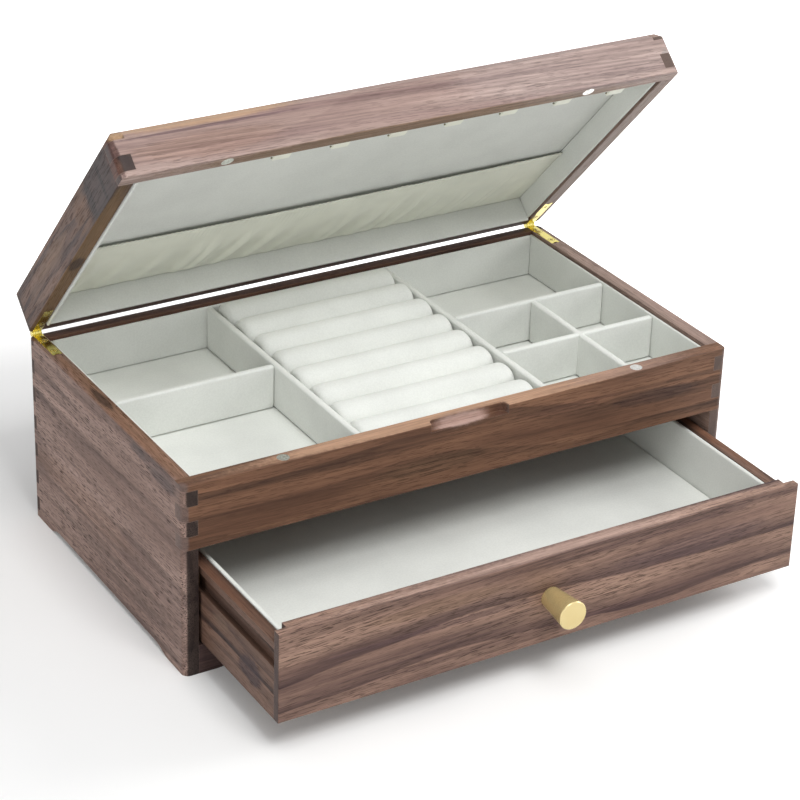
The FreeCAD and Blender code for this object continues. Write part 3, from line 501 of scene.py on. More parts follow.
def bump(wiring, shader, height, strength, distance, normal=None):
    """Feed a height to a shader through a Bump node."""
    values = {"Height": height, "Strength": strength, "Distance": distance}
    if normal is not None:
        values["Normal"] = normal
    wiring.fill(shader, {"Normal": wiring.add("ShaderNodeBump", values).outputs[0]})


# ---------------------------------------------------------------------------
# Finishes
# ---------------------------------------------------------------------------
# node, grain, heart of the tree across the grain in millimetres, palette, figure, ring
# spacing against the usual, and how far the grain drifts across in a metre
BOARDS = (
    ("side_left", "Y", (-260.0, 40.0), "grey", 0.35, 1.0, 0.02),
    ("side_right", "Y", (250.0, 10.0), "pink", 0.4, 1.0, 0.02),
    ("back_board", "X", (190.0, 60.0), "umber", 0.5, 1.0, 0.01),
    ("front_top_rail", "X", (-140.0, 30.0), "warm", 0.75, 1.6, 0.02),
    ("front_bottom_rail", "X", (-150.0, 120.0), "dusk", 0.4, 1.0, 0.0),
    ("lid_left", "Y", (-175.0, 60.0), "plum", 1.3, 1.3, 0.0),
    ("lid_right", "Y", (190.0, 180.0), "pink", 0.4, 1.0, 0.0),
    ("lid_front", "X", (-150.0, 90.0), "rose", 0.35, 0.9, 0.03),
    ("lid_back", "X", (150.0, 90.0), "umber", 0.4, 1.0, 0.0),
    ("lid_panel", "X", (20.0, 150.0), "pink", 1.2, 1.6, 0.0),
    ("drawer_front", "X", (-330.0, 130.0), "stripe", 0.3, 1.3, -0.03),
    ("drawer_left", "Y", (-190.0, 90.0), "russet", 0.7, 1.2, 0.0),
    ("drawer_right", "Y", (190.0, 90.0), "russet", 0.7, 1.0, 0.0),
    ("drawer_back", "X", (60.0, 120.0), "russet", 0.5, 1.0, 0.0),
    ("tray_board", "X", (40.0, 20.0), "russet", 0.4, 1.0, 0.0),
    ("bottom_panel", "X", (40.0, -90.0), "plain", 0.4, 1.0, 0.0),
    ("drawer_bottom", "X", (60.0, -80.0), "plain", 0.4, 1.0, 0.0),
    ("drawer_stop", "X", (60.0, 10.0), "plain", 0.3, 1.0, 0.0),
    ("runner_left", "Y", (-170.0, 10.0), "plain", 0.3, 1.0, 0.0),
    ("runner_right", "Y", (170.0, 10.0), "plain", 0.3, 1.0, 0.0),
)
# pale, brown, dark and end-grain wood, the share of open pores and the strength of rings
PALETTES = {
    "grey": ((168, 141, 130), (131, 106, 96), (84, 64, 59), (22, 18, 18), 0.9, 0.45),
    "pink": ((164, 140, 128), (138, 114, 104), (90, 70, 64), (88, 74, 68), 0.45, 0.4),
    "warm": ((134, 98, 76), (103, 73, 57), (54, 39, 33), (122, 104, 97), 0.45, 0.6),
    "plum": ((112, 86, 74), (82, 61, 54), (44, 32, 33), (62, 52, 50), 0.5, 0.8),
    "rose": ((186, 164, 155), (160, 136, 128), (108, 84, 84), (54, 44, 44), 0.4, 0.4),
    "stripe": ((166, 135, 118), (132, 104, 92), (66, 48, 50), (70, 58, 56), 0.7, 0.75),
    "russet": ((126, 98, 84), (97, 73, 61), (46, 34, 32), (70, 52, 44), 0.45, 0.6),
    "umber": ((112, 82, 68), (88, 62, 51), (54, 38, 32), (60, 44, 38), 0.45, 0.5),
    "dusk": ((96, 76, 72), (78, 60, 58), (48, 36, 38), (56, 46, 46), 0.4, 0.4),
    "plain": ((150, 122, 94), (128, 100, 74), (92, 68, 50), (110, 86, 64), 0.2, 0.4),
}
# place and reach in millimetres, colour and strength of the stains and of the painted light
# and shade on each board, with the lid's given as if it were shut
STAINS_AND_PAINTED_LIGHT = {
    "side_left": (
        ((-146, -20, 100.3), (6, 130, 0.9), (124, 88, 64), 0.7),
        ((-146, 8, 100), (3, 16, 1.3), (50, 34, 28), 0.75),
        ((-142.4, -1.5, 99.8), (1.0, 1.2, 1.4), (22, 16, 14), 0.95),
        ((-150, -39, 96), (3, 11, 3.5), (84, 74, 74), 0.6),
        ((-150, -64, 93), (3, 18, 4.5), (86, 76, 76), 0.55),
        ((-150, 30, 38), (3, 80, 10), (138, 108, 92), 0.35),
        ((-150, -60, 96), (3, 26, 5), (96, 82, 80), 0.5),
        ((-150, -10, 20), (3, 90, 9), (96, 78, 70), 0.35),
        # painted highlight down the rounded front corner
        ((-150, -85, 40), (2.4, 2.4, 70), (158, 138, 130), 0.3)),
    "side_right": (
        ((146, 0, 100.3), (6, 130, 0.9), (160, 138, 128), 0.55),),
    "front_top_rail": (
        # painted highlight: the rail's top face lightened
        ((0, -80, 100.2), (160, 9, 1.2), (190, 152, 126), 0.85),
        ((90, -80, 100.4), (60, 9, 0.9), (150, 122, 110), 0.6),
        ((-150, -84, 84), (4.2, 7, 40), (112, 94, 88), 0.85),
        ((150, -84, 84), (4.5, 7, 40), (104, 84, 76), 0.6),
        ((108, -85, 84), (34, 3, 5), (58, 42, 40), 0.5),
        ((-20, -85, 78), (40, 3, 6), (70, 56, 44), 0.4),
        ((60, -85, 90), (40, 3, 3), (112, 80, 66), 0.35),
        # painted light in the hollow of the finger notch
        ((-3, -81.5, 96.0), (20, 4.2, 5.2), (196, 168, 158), 0.8),
        # painted shade in the notch's right end
        ((18, -83, 97.5), (5.5, 4, 4.5), (96, 68, 56), 0.85)),
    "drawer_front": (
        ((0, -154, 62.7), (210, 9, 0.9), (188, 160, 148), 0.8),
        ((0, -158.4, 61), (210, 3, 2.4), (88, 68, 64), 0.45),
        ((-50, -158.4, 42), (95, 3, 2.2), (84, 64, 66), 0.45),
        ((80, -158.4, 46), (60, 3, 7), (84, 66, 70), 0.4),
        ((40, -158.4, 58), (90, 3, 2.0), (84, 64, 62), 0.45),
        ((-60, -158.4, 53), (50, 3, 5), (150, 120, 98), 0.4),
        ((-20, -158.4, 24), (110, 3, 2.2), (82, 60, 60), 0.45)),
    "drawer_left": (
        ((-139, -75, 56.3), (4, 90, 0.8), (108, 76, 60), 0.6),
        ((-141, -132, 29), (3, 14, 9), (52, 40, 46), 0.7),
        ((-141, -104, 38), (3, 10, 4), (128, 104, 86), 0.35)),
    "drawer_right": (
        ((139, -75, 56.3), (4, 90, 0.8), (136, 96, 74), 0.6),),
    "lid_front": (
        ((-100, -82, 122), (62, 12, 4.3), (180, 148, 120), 0.85),
        ((-98, -85, 117.7), (64, 4, 0.9), (92, 70, 78), 0.6),
        ((0, -80, 100.3), (160, 9, 1.0), (124, 98, 70), 0.7),
        ((-148.8, -83, 112), (2.4, 5, 14), (78, 50, 46), 0.75),
        ((146.5, -85, 110), (3.6, 4, 4.6), (132, 132, 128), 0.6),
        ((-105, -85, 109), (50, 9, 8), (150, 120, 106), 0.45),
        ((95, -85, 112), (90, 9, 20), (178, 162, 158), 0.35)),
    "lid_left": (
        ((-150, -30, 110), (4, 15, 14), (112, 84, 66), 0.55),
        ((-150, -58, 112), (4, 26, 24), (56, 45, 45), 0.85),
        ((-150, -62, 112), (4, 2.2, 16), (32, 27, 29), 0.6),
        ((-150, -44, 110), (4, 4.5, 13), (36, 30, 32), 0.55),
        ((-150, 38, 111), (4, 36, 15), (134, 108, 94), 0.5),
        ((-150, -5, 105.5), (4, 44, 1.7), (60, 46, 46), 0.6),
        ((-150, 22, 113), (4, 34, 5), (124, 98, 80), 0.55),
        ((-150, 40, 118), (4, 44, 1.5), (60, 46, 48), 0.6),
        ((-150, 44, 107), (4, 30, 1.3), (66, 50, 50), 0.55),
        # painted shade along the lid's top edge
        ((-150, 0, 122.6), (6, 110, 2.3), (72, 56, 62), 0.8),
        ((-146, 0, 100.2), (8, 110, 1.0), (120, 92, 62), 0.75),
        ((-146.5, 6, 100.5), (5, 9, 1.6), (58, 40, 34), 0.85),
        ((-150, -80, 112), (4, 5, 18), (96, 60, 50), 0.6),
        ((-146, -84, 121.6), (6, 3, 5.5), (186, 152, 118), 0.8)),
    "lid_right": (
        ((146, 0, 100.2), (8, 110, 1.0), (152, 136, 128), 0.7),),
}


def lid_board(node):
    """Whether a node is part of the lid."""
    return node.startswith("lid_")


def board_vectors(wiring, node, grain, heart, move, drift):
    """The place on the board, the figure's vector and the mask of the end grain."""
    place = wiring.add("ShaderNodeTexCoord")
    spot = place.outputs["Object"]
    direction = AXES[grain]
    if lid_board(node):
        made = wiring.add("ShaderNodeVectorRotate",
                          {"Vector": spot, "Center": HINGE_LINE,
                           "Axis": Vector(LID_HINGE["axis"]), "Angle": -LID_ANGLE},
                          rotation_type="AXIS_ANGLE")
        spot = made.outputs[0]
        direction = LID_OPEN.to_3x3() @ direction
    parts = wiring.split(spot)
    order = {"X": "XYZ", "Y": "YXZ", "Z": "ZXY"}[grain]
    along, one, two = (parts[axis] for axis in order)
    drifted = wiring.plus(two, wiring.times(along, drift))
    turned = wiring.add("ShaderNodeCombineXYZ", {"X": along, "Y": one, "Z": drifted})
    shift = Vector((move, -heart[0] * MM, -heart[1] * MM))
    vector = wiring.vector("ADD", turned.outputs[0], shift)
    facing = wiring.maths("ABSOLUTE", wiring.dot(place.outputs["Normal"], direction))
    return spot, vector, wiring.ease(facing, 0.8, 0.95)


# how far apart along the tree the boards are cut, and the lightening along their edges, partly
# wear and partly a painted highlight
CUT_STEP = 0.37
WEAR_AND_HIGHLIGHT_SHARE, WEAR_AND_HIGHLIGHT_COLOUR = 0.22, (196, 168, 150)


def board_finish(walnut, number, node, grain, heart, palette, figure, spread, drift):
    """A material for one board."""
    pale, brown, dark, ends_colour, pores, rings = PALETTES[palette]
    material, wiring, shader = new_material(f"Walnut {node.replace('_', ' ')}")
    spot, vector, ends = board_vectors(wiring, node, grain, heart, CUT_STEP * number,
                                       drift)
    wood = use_group(wiring, walnut_group(), {
        "Vector": vector, "Pale": linear(*pale), "Brown": linear(*brown),
        "Dark": linear(*dark), "Ring spacing": walnut.ring * spread, "Figure": figure,
        "Ring strength": rings, "Pores": pores, "End grain": ends,
        "End colour": linear(*ends_colour), "Roughness": walnut.sheen})
    colour = wood["Color"]
    # each entry tints the wood round its place; some are stains, some are painted light and
    # shade
    for place, reach, shade, strength in STAINS_AND_PAINTED_LIGHT.get(node, ()):
        stain_and_light = use_group(wiring, stain_and_light_group(), {
            "Vector": spot, "Place": Vector(place) * MM, "Reach": Vector(reach) * MM})
        tint = wiring.blend(wiring.times(stain_and_light["Mask"], strength), colour,
                            linear(*shade))
        streaky = wiring.blend(1.0, tint, wood["Grain"], "MULTIPLY")
        colour = wiring.blend(stain_and_light["Mask"], colour, streaky)
    arris = use_group(wiring, arris_group(), {"Width": walnut.arris})
    # edges lightened: partly wear, partly a painted highlight
    wear_and_highlight = wiring.times(arris["Mask"], WEAR_AND_HIGHLIGHT_SHARE)
    colour = wiring.blend(wear_and_highlight, colour, linear(*WEAR_AND_HIGHLIGHT_COLOUR))
    wiring.fill(shader, {"Base Color": colour, "Roughness": wood["Roughness"],
                         "Specular IOR Level": 0.18})
    bump(wiring, shader, wood["Height"], 0.2, 0.0001, arris["Normal"])
    return material


@once
def velvet_finish(velvet):
    """The velvet of the tray, the lid and the drawer."""
    material, wiring, shader = new_material("Ivory velvet")
    pile = use_group(wiring, pile_group(), {
        "Vector": wiring.place(), "Color": velvet.colour, "Pile size": velvet.pile})
    wiring.fill(shader, {"Base Color": pile["Color"], "Roughness": pile["Roughness"],
                         "Specular IOR Level": 0.1, "Sheen Weight": 0.12,
                         "Sheen Roughness": 0.5})
    bump(wiring, shader, pile["Height"], 0.25, 0.0001)
    return material


@once
def satin_finish(pocket):
    """The cloth of the lid's pocket and tabs."""
    material, wiring, shader = new_material("Cream pocket cloth")
    cloth = use_group(wiring, satin_group(),
                      {"Vector": wiring.place(), "Color": pocket.colour})
    wiring.fill(shader, {"Base Color": cloth["Color"], "Roughness": cloth["Roughness"],
                         "Specular IOR Level": 0.35, "Sheen Weight": 0.1})
    bump(wiring, shader, cloth["Height"], 0.2, 0.00005)
    return material


def thread_finish():
    """Waxed olive thread."""
    material, wiring, shader = new_material("Olive thread")
    twist = wiring.noise(wiring.place(), scale=2600.0, detail=1.0)
    tint = wiring.blend(wiring.ease(twist, 0.35, 0.65), linear(96, 92, 66),
                        linear(140, 136, 104))
    wiring.fill(shader, {"Base Color": tint, "Roughness": 0.6})
    bump(wiring, shader, twist, 0.3, 0.00005)
    return material


def brass_finish(name, colour, roughness, distance_axis, edge, metallic):
    """Polished brass with fine tool lines along one axis and its edges in another tone, which on
    the hinges is a painted shadow line.
    """
    material, wiring, shader = new_material(name)
    place = wiring.place()
    lines = use_group(wiring, turned_group(), {
        "Distance": wiring.split(place)[distance_axis], "Roughness": roughness})
    haze = wiring.noise(place, scale=160.0, detail=1.0)
    tint = wiring.blend(wiring.ease(haze, 0.4, 0.7, 0.0, 0.12), colour,
                        linear(200, 172, 104))
    arris = use_group(wiring, arris_group(), {"Width": 0.0005})
    # the edges take the given tone: a painted shadow line on the hinges, a lighter tone on the
    # knob
    tint = wiring.blend(wiring.times(arris["Mask"], 0.7), tint, edge)
    wiring.fill(shader, {"Base Color": tint, "Metallic": metallic,
                         "Roughness": lines["Roughness"]})
    bump(wiring, shader, lines["Height"], 0.05, 0.00001, arris["Normal"])
    return material


@once
def steel_finish():
    """Bright nickel on the magnets and the knob's screw."""
    material, wiring, shader = new_material("Bright nickel")
    haze = wiring.noise(wiring.place(), scale=900.0, detail=3.0)
    tint = wiring.blend(wiring.ease(haze, 0.4, 0.7), linear(226, 226, 222),
                        linear(196, 194, 188))
    wiring.fill(shader, {"Base Color": tint, "Metallic": 1.0,
                         "Roughness": wiring.ease(haze, 0.3, 0.7, 0.22, 0.36)})
    return material


def paint_node(node, material):
    """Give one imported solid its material."""
    NODES[node].material_slots[0].material = material


# ---------------------------------------------------------------------------
# Building meshes
# ---------------------------------------------------------------------------
ROUND_STEPS = (45.0, 30.0, 15.0, 0.0)
SHORTEST_CELL = 0.05
WAVES_PER_METRE = 55.0


def stations(low, high, radius, cell):
    """Places along an edge: close together at its rounded ends, and cells between."""
    ends = [radius * (1 - math.tan(math.radians(step))) for step in ROUND_STEPS]
    first = [low + part for part in ends]
    last = [high - part for part in reversed(ends)]
    span = last[0] - first[-1]
    if span < cell * SHORTEST_CELL:
        return first + last[1:]
    count = max(1, round(span / cell))
    return first + [first[-1] + span * step / count for step in range(1, count)] + last


class Shell:
    """Vertices and faces gathered for one piece."""

    def __init__(self):
        self.vertices = []
        self.faces = []

    def add(self, vertices, faces):
        """Add a closed form to the piece."""
        first = len(self.vertices)
        self.vertices.extend(vertices)
        self.faces.extend([[first + corner for corner in face] for face in faces])

    def padded_box(self, low, high, radius, cell, wave=0.0):
        """A box with rounded edges and a gentle unevenness."""
        low, high = Vector(low), Vector(high)
        radius = min(radius, min(high - low) * 0.5)
        rows = [stations(low[axis], high[axis], radius, cell) for axis in range(3)]
        inset = Vector((radius, radius, radius))
        inner_low, inner_high = low + inset, high - inset
        numbers, vertices, faces = {}, [], []

        def corner(key):
            if key not in numbers:
                spot = Vector([rows[axis][key[axis]] for axis in range(3)])
                core = Vector([min(max(spot[axis], inner_low[axis]), inner_high[axis])
                               for axis in range(3)])
                out = (spot - core).normalized()
                uneven = 0.5 + 0.5 * noise.noise(spot * WAVES_PER_METRE)
                numbers[key] = len(vertices)
                vertices.append(core + out * (radius - wave * uneven))
            return numbers[key]

        for axis in range(3):
            one, two = (axis + 1) % 3, (axis + 2) % 3
            for end in (0, len(rows[axis]) - 1):
                for i in range(len(rows[one]) - 1):
                    for j in range(len(rows[two]) - 1):
                        face = []
                        for di, dj in ((0, 0), (1, 0), (1, 1), (0, 1)):
                            key = [0, 0, 0]
                            key[axis], key[one], key[two] = end, i + di, j + dj
                            face.append(corner(tuple(key)))
                        faces.append(face if end else face[::-1])
        self.add(vertices, faces)

    def thing(self, name):
        """An object of the gathered vertices and faces."""
        mesh = bpy.data.meshes.new(name)
        mesh.from_pydata([tuple(vertex) for vertex in self.vertices], [], self.faces)
        mesh.polygons.foreach_set("use_smooth", [True] * len(mesh.polygons))
        mesh.update()
        made = bpy.data.objects.new(name, mesh)
        bpy.context.scene.collection.objects.link(made)
        return made

    def piece(self, name, material, body, slot, nodes=(), lid=False):
        """Make the piece, hang it on what it rides on, and hide the nodes it stands for."""
        made = self.thing(name)
        if lid:
            made.data.transform(LID_OPEN)
        made.data.materials.append(material)
        return hand_over(made, body, nodes)


def hand_over(piece, body, nodes=()):
    """Hang a finished piece on what it rides on, and hide the nodes it replaces."""
    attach(piece, body)
    if nodes:
        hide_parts(*nodes)
    return piece


def make_plain(thing):
    """Turn an object into a plain mesh of what it looks like with its modifiers."""
    seen = thing.evaluated_get(bpy.context.evaluated_depsgraph_get())
    mesh = bpy.data.meshes.new_from_object(seen)
    mesh.name = thing.name
    thing.modifiers.clear()
    thing.data = mesh


@once
def row_tree():
    """Geometry nodes that repeat the object's own mesh along a step."""
    tree = bpy.data.node_groups.new("Row of copies", "GeometryNodeTree")
    sockets = {}
    for label, kind in (("Geometry", "NodeSocketGeometry"), ("Count", "NodeSocketInt"),
                        ("Step", "NodeSocketVector"), ("Material", "NodeSocketMaterial")):
        made = tree.interface.new_socket(label, in_out="INPUT", socket_type=kind)
        sockets[label] = made.identifier
    tree.interface.new_socket("Geometry", in_out="OUTPUT", socket_type="NodeSocketGeometry")
    given = tree.nodes.new("NodeGroupInput")
    result = tree.nodes.new("NodeGroupOutput")
    line = tree.nodes.new("GeometryNodeMeshLine")
    line.mode = "OFFSET"
    copies = tree.nodes.new("GeometryNodeInstanceOnPoints")
    real = tree.nodes.new("GeometryNodeRealizeInstances")
    paint = tree.nodes.new("GeometryNodeSetMaterial")
    for start, end in (
            (given.outputs["Count"], line.inputs["Count"]),
            (given.outputs["Step"], line.inputs["Offset"]),
            (line.outputs["Mesh"], copies.inputs["Points"]),
            (given.outputs["Geometry"], copies.inputs["Instance"]),
            (copies.outputs["Instances"], real.inputs["Geometry"]),
            (real.outputs["Geometry"], paint.inputs["Geometry"]),
            (given.outputs["Material"], paint.inputs["Material"]),
            (paint.outputs["Geometry"], result.inputs["Geometry"])):
        tree.links.new(start, end)
    return tree, sockets


def repeat_in_a_row(thing, count, step, material):
    """Turn an object into a row of copies of itself, as one plain mesh."""
    tree, sockets = row_tree()
    modifier = thing.modifiers.new("Row", "NODES")
    modifier.node_group = tree
    modifier[sockets["Count"]] = count
    modifier[sockets["Step"]] = step
    modifier[sockets["Material"]] = material
    make_plain(thing)


def velvet_piece(velvet, name, body, node, boxes, fold, lid=False):
    """Padded boxes in velvet that stand for one node."""
    shell = Shell()
    for low, high in boxes:
        shell.padded_box(low, high, fold, velvet.cell, velvet.wave)
    return shell.piece(name, velvet_finish(velvet), body, "velvet", [node], lid)


# ---------------------------------------------------------------------------
# Pieces
# ---------------------------------------------------------------------------
class RINGBOX_OT_boards(bpy.types.Operator):
    """Give each board its own walnut, cut from its own part of the tree"""

    bl_idname = "ring_box.boards"
    bl_label = "Walnut boards"

    def execute(self, context):
        walnut = context.scene.ring_box_walnut
        for number, board in enumerate(BOARDS):
            paint_node(board[0], board_finish(walnut, number, *board))
        return {"FINISHED"}


class RINGBOX_OT_metal(bpy.types.Operator):
    """Polish the hinges, the knob, the magnets and the screws"""

    bl_idname = "ring_box.metal"
    bl_label = "Brass and nickel"

    def execute(self, context):
        brass = context.scene.ring_box_brass
        knob = brass_finish("Turned brass", brass.colour, brass.knob, "Y",
                            linear(246, 232, 180), brass.shine)
        # the hinges' darker edge tone is a painted shadow line round the leaves
        hinge = brass_finish("Polished brass", brass.leaf, brass.hinge, "X",
                             linear(120, 90, 36), 1.0)
        paint_node("knob", knob)
        for node in NODES:
            if node.startswith("hinge_"):
                paint_node(node, hinge)
            elif "magnet" in node or node == "knob_screw":
                paint_node(node, steel_finish())
        return {"FINISHED"}


def bays():
    """The floor rectangles between the tray's walls and dividers."""
    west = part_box("tray_wall_left")[1].x
    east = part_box("tray_wall_right")[0].x
    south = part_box("tray_wall_front")[1].y
    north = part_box("tray_wall_back")[0].y
    left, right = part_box("left_divider"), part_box("right_divider")
    cross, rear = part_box("left_cross_divider"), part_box("right_rear_cross_divider")
    front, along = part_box("right_front_cross_divider"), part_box("right_long_divider")
    columns = ((right[1].x, along[0].x), (along[1].x, east))
    made = [(west, left[0].x, south, cross[0].y), (west, left[0].x, cross[1].y, north),
            (left[1].x, right[0].x, south, north), (right[1].x, east, rear[1].y, north)]
    for low, high in columns:
        made.append((low, high, front[1].y, rear[0].y))
        made.append((low, high, south, front[0].y))
    return made


TRAY_BOARDS = (
    "tray_wall_left", "tray_wall_right", "tray_wall_front", "tray_wall_back",
    "left_divider", "right_divider", "left_cross_divider", "right_rear_cross_divider",
    "right_front_cross_divider", "right_long_divider",
)
CROSS_DROP = Vector((0, 0, -0.1 * MM))
BED_DROP = Vector((0, 0, -0.25 * MM))
BAY_FOLD, BAY_WAVE = 0.4 * MM, 0.05 * MM


class RINGBOX_OT_tray(bpy.types.Operator):
    """Cover the tray's walls, dividers and floor with velvet"""

    bl_idname = "ring_box.tray"
    bl_label = "Tray lining"

    def execute(self, context):
        velvet = context.scene.ring_box_velvet
        for node in TRAY_BOARDS:
            low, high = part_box(node)
            if "cross" in node:
                high = high + CROSS_DROP
            fold = velvet.fold if "divider" in node else velvet.liner_fold
            velvet_piece(velvet, f"velvet_{node}", "carcass", node, [(low, high)], fold)
        shell = Shell()
        bottom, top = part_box("tray_floor")
        shell.padded_box(bottom, top + BED_DROP, velvet.liner_fold, velvet.cell)
        tuck = velvet.tuck
        for west, east, south, north in bays():
            shell.padded_box((west + tuck, south + tuck, bottom.z),
                             (east - tuck, north - tuck, top.z),
                             BAY_FOLD, velvet.cell, BAY_WAVE)
        shell.piece("velvet_tray_floor", velvet_finish(velvet), "carcass", "velvet",
                    ["tray_floor"])
        return {"FINISHED"}


ROLL_COUNT = 8
# how far a roll's flat top reaches each way, the rounding of its foot, the steps down each
# side, and the centre, size and taper of its ends as shares of the middle's
ROLL_FLAT, ROLL_FOOT, ROLL_SIDE = 0.65 * MM, 2.5 * MM, 4
ROLL_CENTRE, ROLL_TIP, ROLL_TAPER = 0.48, 0.35, 1 / 3.2


def half_of(step, steps):
    """1 in the first half of an arc, -1 in the second and 0 halfway."""
    return (step * 2 < steps) - (step * 2 > steps)


def roll_outline(around, half, height):
    """A roll seen from its end, as places to the side and up."""
    crown, foot = half - ROLL_FLAT, ROLL_FOOT
    arc, base = around // 2 - ROLL_SIDE, around // 4
    shares = [step / ROLL_SIDE for step in range(1, ROLL_SIDE)]
    outline = []
    for step in range(arc + 1):
        angle = math.pi * step / arc
        outline.append(((half - crown) * half_of(step, arc) + crown * math.cos(angle),
                        height - crown + crown * math.sin(angle)))
    for share in shares:
        outline.append((-half, (height - crown) * (1 - share) + foot * share))
    for step in range(base + 1):
        angle = math.pi + math.pi * step / base
        outline.append(((half - foot) * -half_of(step, base) + foot * math.cos(angle),
                        foot + foot * math.sin(angle)))
    for share in shares:
        outline.append((half, foot * (1 - share) + (height - crown) * share))
    return outline


def roll_shell(rolls, low, high):
    """A closed blank for the backmost roll."""
    slack, steps = rolls.slack, rolls.along
    middle = (high.y + low.y) / 2
    height = high.z - low.z - slack
    outline = roll_outline(rolls.around, (high.y - low.y) / 2 - slack, height)
    ring = len(outline)
    west, east = low.x + slack, high.x - slack
    centre = Vector((0.0, height * ROLL_CENTRE))
    vertices, faces = [], []
    for step in range(1, steps):
        # crowd the rings towards the two ends
        share = 0.5 - 0.5 * math.cos(math.pi * step / steps)
        along = 2 * share - 1
        size = max(1 - abs(along) ** rolls.squareness, 0.0) ** ROLL_TAPER
        x = (west + east) / 2 + (east - west) / 2 * along
        for place in outline:
            spot = centre + (Vector(place) - centre) * (ROLL_TIP + (1 - ROLL_TIP) * size)
            vertices.append(Vector((x, middle + spot.x, low.z + spot.y)))
    last = steps - 2
    for row in range(last):
        for step in range(ring):
            after = (step + 1) % ring
            faces.append([row * ring + step, row * ring + after,
                          (row + 1) * ring + after, (row + 1) * ring + step])
    for row, x, turned in ((0, west, True), (last, east, False)):
        tip = len(vertices)
        vertices.append(Vector((x, middle + centre.x, low.z + centre.y)))
        for step in range(ring):
            face = [row * ring + step, row * ring + (step + 1) % ring, tip]
            faces.append(face[::-1] if turned else face)
    shell = Shell()
    shell.add(vertices, faces)
    return shell


def stuff(piece, rolls):
    """Blow the rolls up a little under their cloth, and keep each point near its start."""
    modifier = piece.modifiers.new("Stuffing", "CLOTH")
    cloth = modifier.settings
    cloth.quality = 4
    cloth.mass = 0.1
    cloth.use_pressure = True
    cloth.uniform_pressure_force = rolls.pressure
    cloth.effector_weights.gravity = 0.0
    modifier.collision_settings.use_collision = False
    scene = bpy.context.scene
    modifier.point_cache.frame_end = rolls.frames
    before = [vertex.co.copy() for vertex in piece.data.vertices]
    for number in range(1, rolls.frames + 1):
        scene.frame_set(number)
    make_plain(piece)
    for vertex, start in zip(piece.data.vertices, before):
        move = vertex.co - start
        if move.length > rolls.swell:
            move *= rolls.swell / move.length
        vertex.co = start + move
    scene.frame_set(1)
    piece.data.update()


class RINGBOX_OT_ring_rolls(bpy.types.Operator):
    """Stuff the row of ring rolls and set them side by side"""

    bl_idname = "ring_box.ring_rolls"
    bl_label = "Ring rolls"

    def execute(self, context):
        rolls = context.scene.ring_box_rolls
        velvet = context.scene.ring_box_velvet
        names = [f"ring_roll_{number}" for number in range(1, ROLL_COUNT + 1)]
        low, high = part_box(names[0])
        pitch = low.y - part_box(names[1])[0].y
        piece = roll_shell(rolls, low, high).thing("velvet_ring_rolls")
        repeat_in_a_row(piece, ROLL_COUNT, (0.0, -pitch, 0.0), velvet_finish(velvet))
        heights = [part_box(name)[1].z - low.z for name in names]
        middle = (low.y + high.y) / 2
        for vertex in piece.data.vertices:
            number = round((middle - vertex.co.y) / pitch)
            vertex.co.z = low.z + (vertex.co.z - low.z) * heights[number] / heights[0]
        stuff(piece, rolls)
        piece.data.polygons.foreach_set("use_smooth", [True] * len(piece.data.polygons))
        smooth = piece.modifiers.new("Smooth", "SUBSURF")
        smooth.levels = smooth.render_levels = 1
        hand_over(piece, "carcass", names)
        return {"FINISHED"}


BACK_PROUD = 0.8


class RINGBOX_OT_lid_lining(bpy.types.Operator):
    """Line the lid's ceiling and walls with velvet"""

    bl_idname = "ring_box.lid_lining"
    bl_label = "Lid lining"

    def execute(self, context):
        velvet = context.scene.ring_box_velvet
        piece = velvet_piece(velvet, "velvet_lid_ceiling", "lid", "lid_lining_top",
                             [shut_box("lid_lining_top")], velvet.fold, lid=True)
        low, high = shut_box("lid_lining_walls")
        thick = shut_box("lid_pocket")[0].x - low.x
        walls = (
            ((low.x, low.y, low.z - velvet.proud), (low.x + thick, high.y, high.z)),
            ((high.x - thick, low.y, low.z), (high.x, high.y, high.z)),
            ((low.x + thick, low.y, low.z), (high.x - thick, low.y + thick, high.z)),
            ((low.x + thick, high.y - thick, low.z - velvet.proud * BACK_PROUD),
             (high.x - thick, high.y, high.z)))
        velvet_piece(velvet, "velvet_lid_walls", "lid", "lid_lining_walls", walls,
                     velvet.liner_fold, lid=True)
        return {"FINISHED"}


def smooth_step(share):
    """0 to 1 with eased ends."""
    share = min(max(share, 0.0), 1.0)
    return share * share * (3 - 2 * share)


def pocket_folds(pocket, west, east):
    """Place, width, height, lean and start of each slanted fold, the right ones finer."""
    folds = []
    place, number = west, 0
    while place < east + pocket.lean:
        number += 1
        luck = noise.cell_vector(Vector((number * 1.7, 3.1, 0.5)))
        side = smooth_step((place - 0.02) / 0.09)
        size = 1 - 0.55 * side
        folds.append((place, (0.13 + 0.17 * luck.x) * pocket.fold_width * size,
                      (0.35 + 0.65 * luck.y) * pocket.fold * size,
                      (0.6 + 0.8 * luck.z) * pocket.lean, 0.35 * luck.x))
        place += pocket.fold_width * (0.45 + 0.85 * luck.z) * (1 - 0.4 * side)
    return folds


def fold_height(fold, x, v):
    """How far one fold lifts the cloth at a place: steep to its left, gentle to its right."""
    centre, wide, high, lean, start = fold
    away = (x + lean * v - centre) / wide
    away = away / 0.6 if away < 0 else away / 1.6
    if abs(away) > 3:
        return 0.0
    return high * math.exp(-away * away) * smooth_step((v - start) / 0.3)


POCKET_ACROSS, POCKET_DEEP = 420, 44


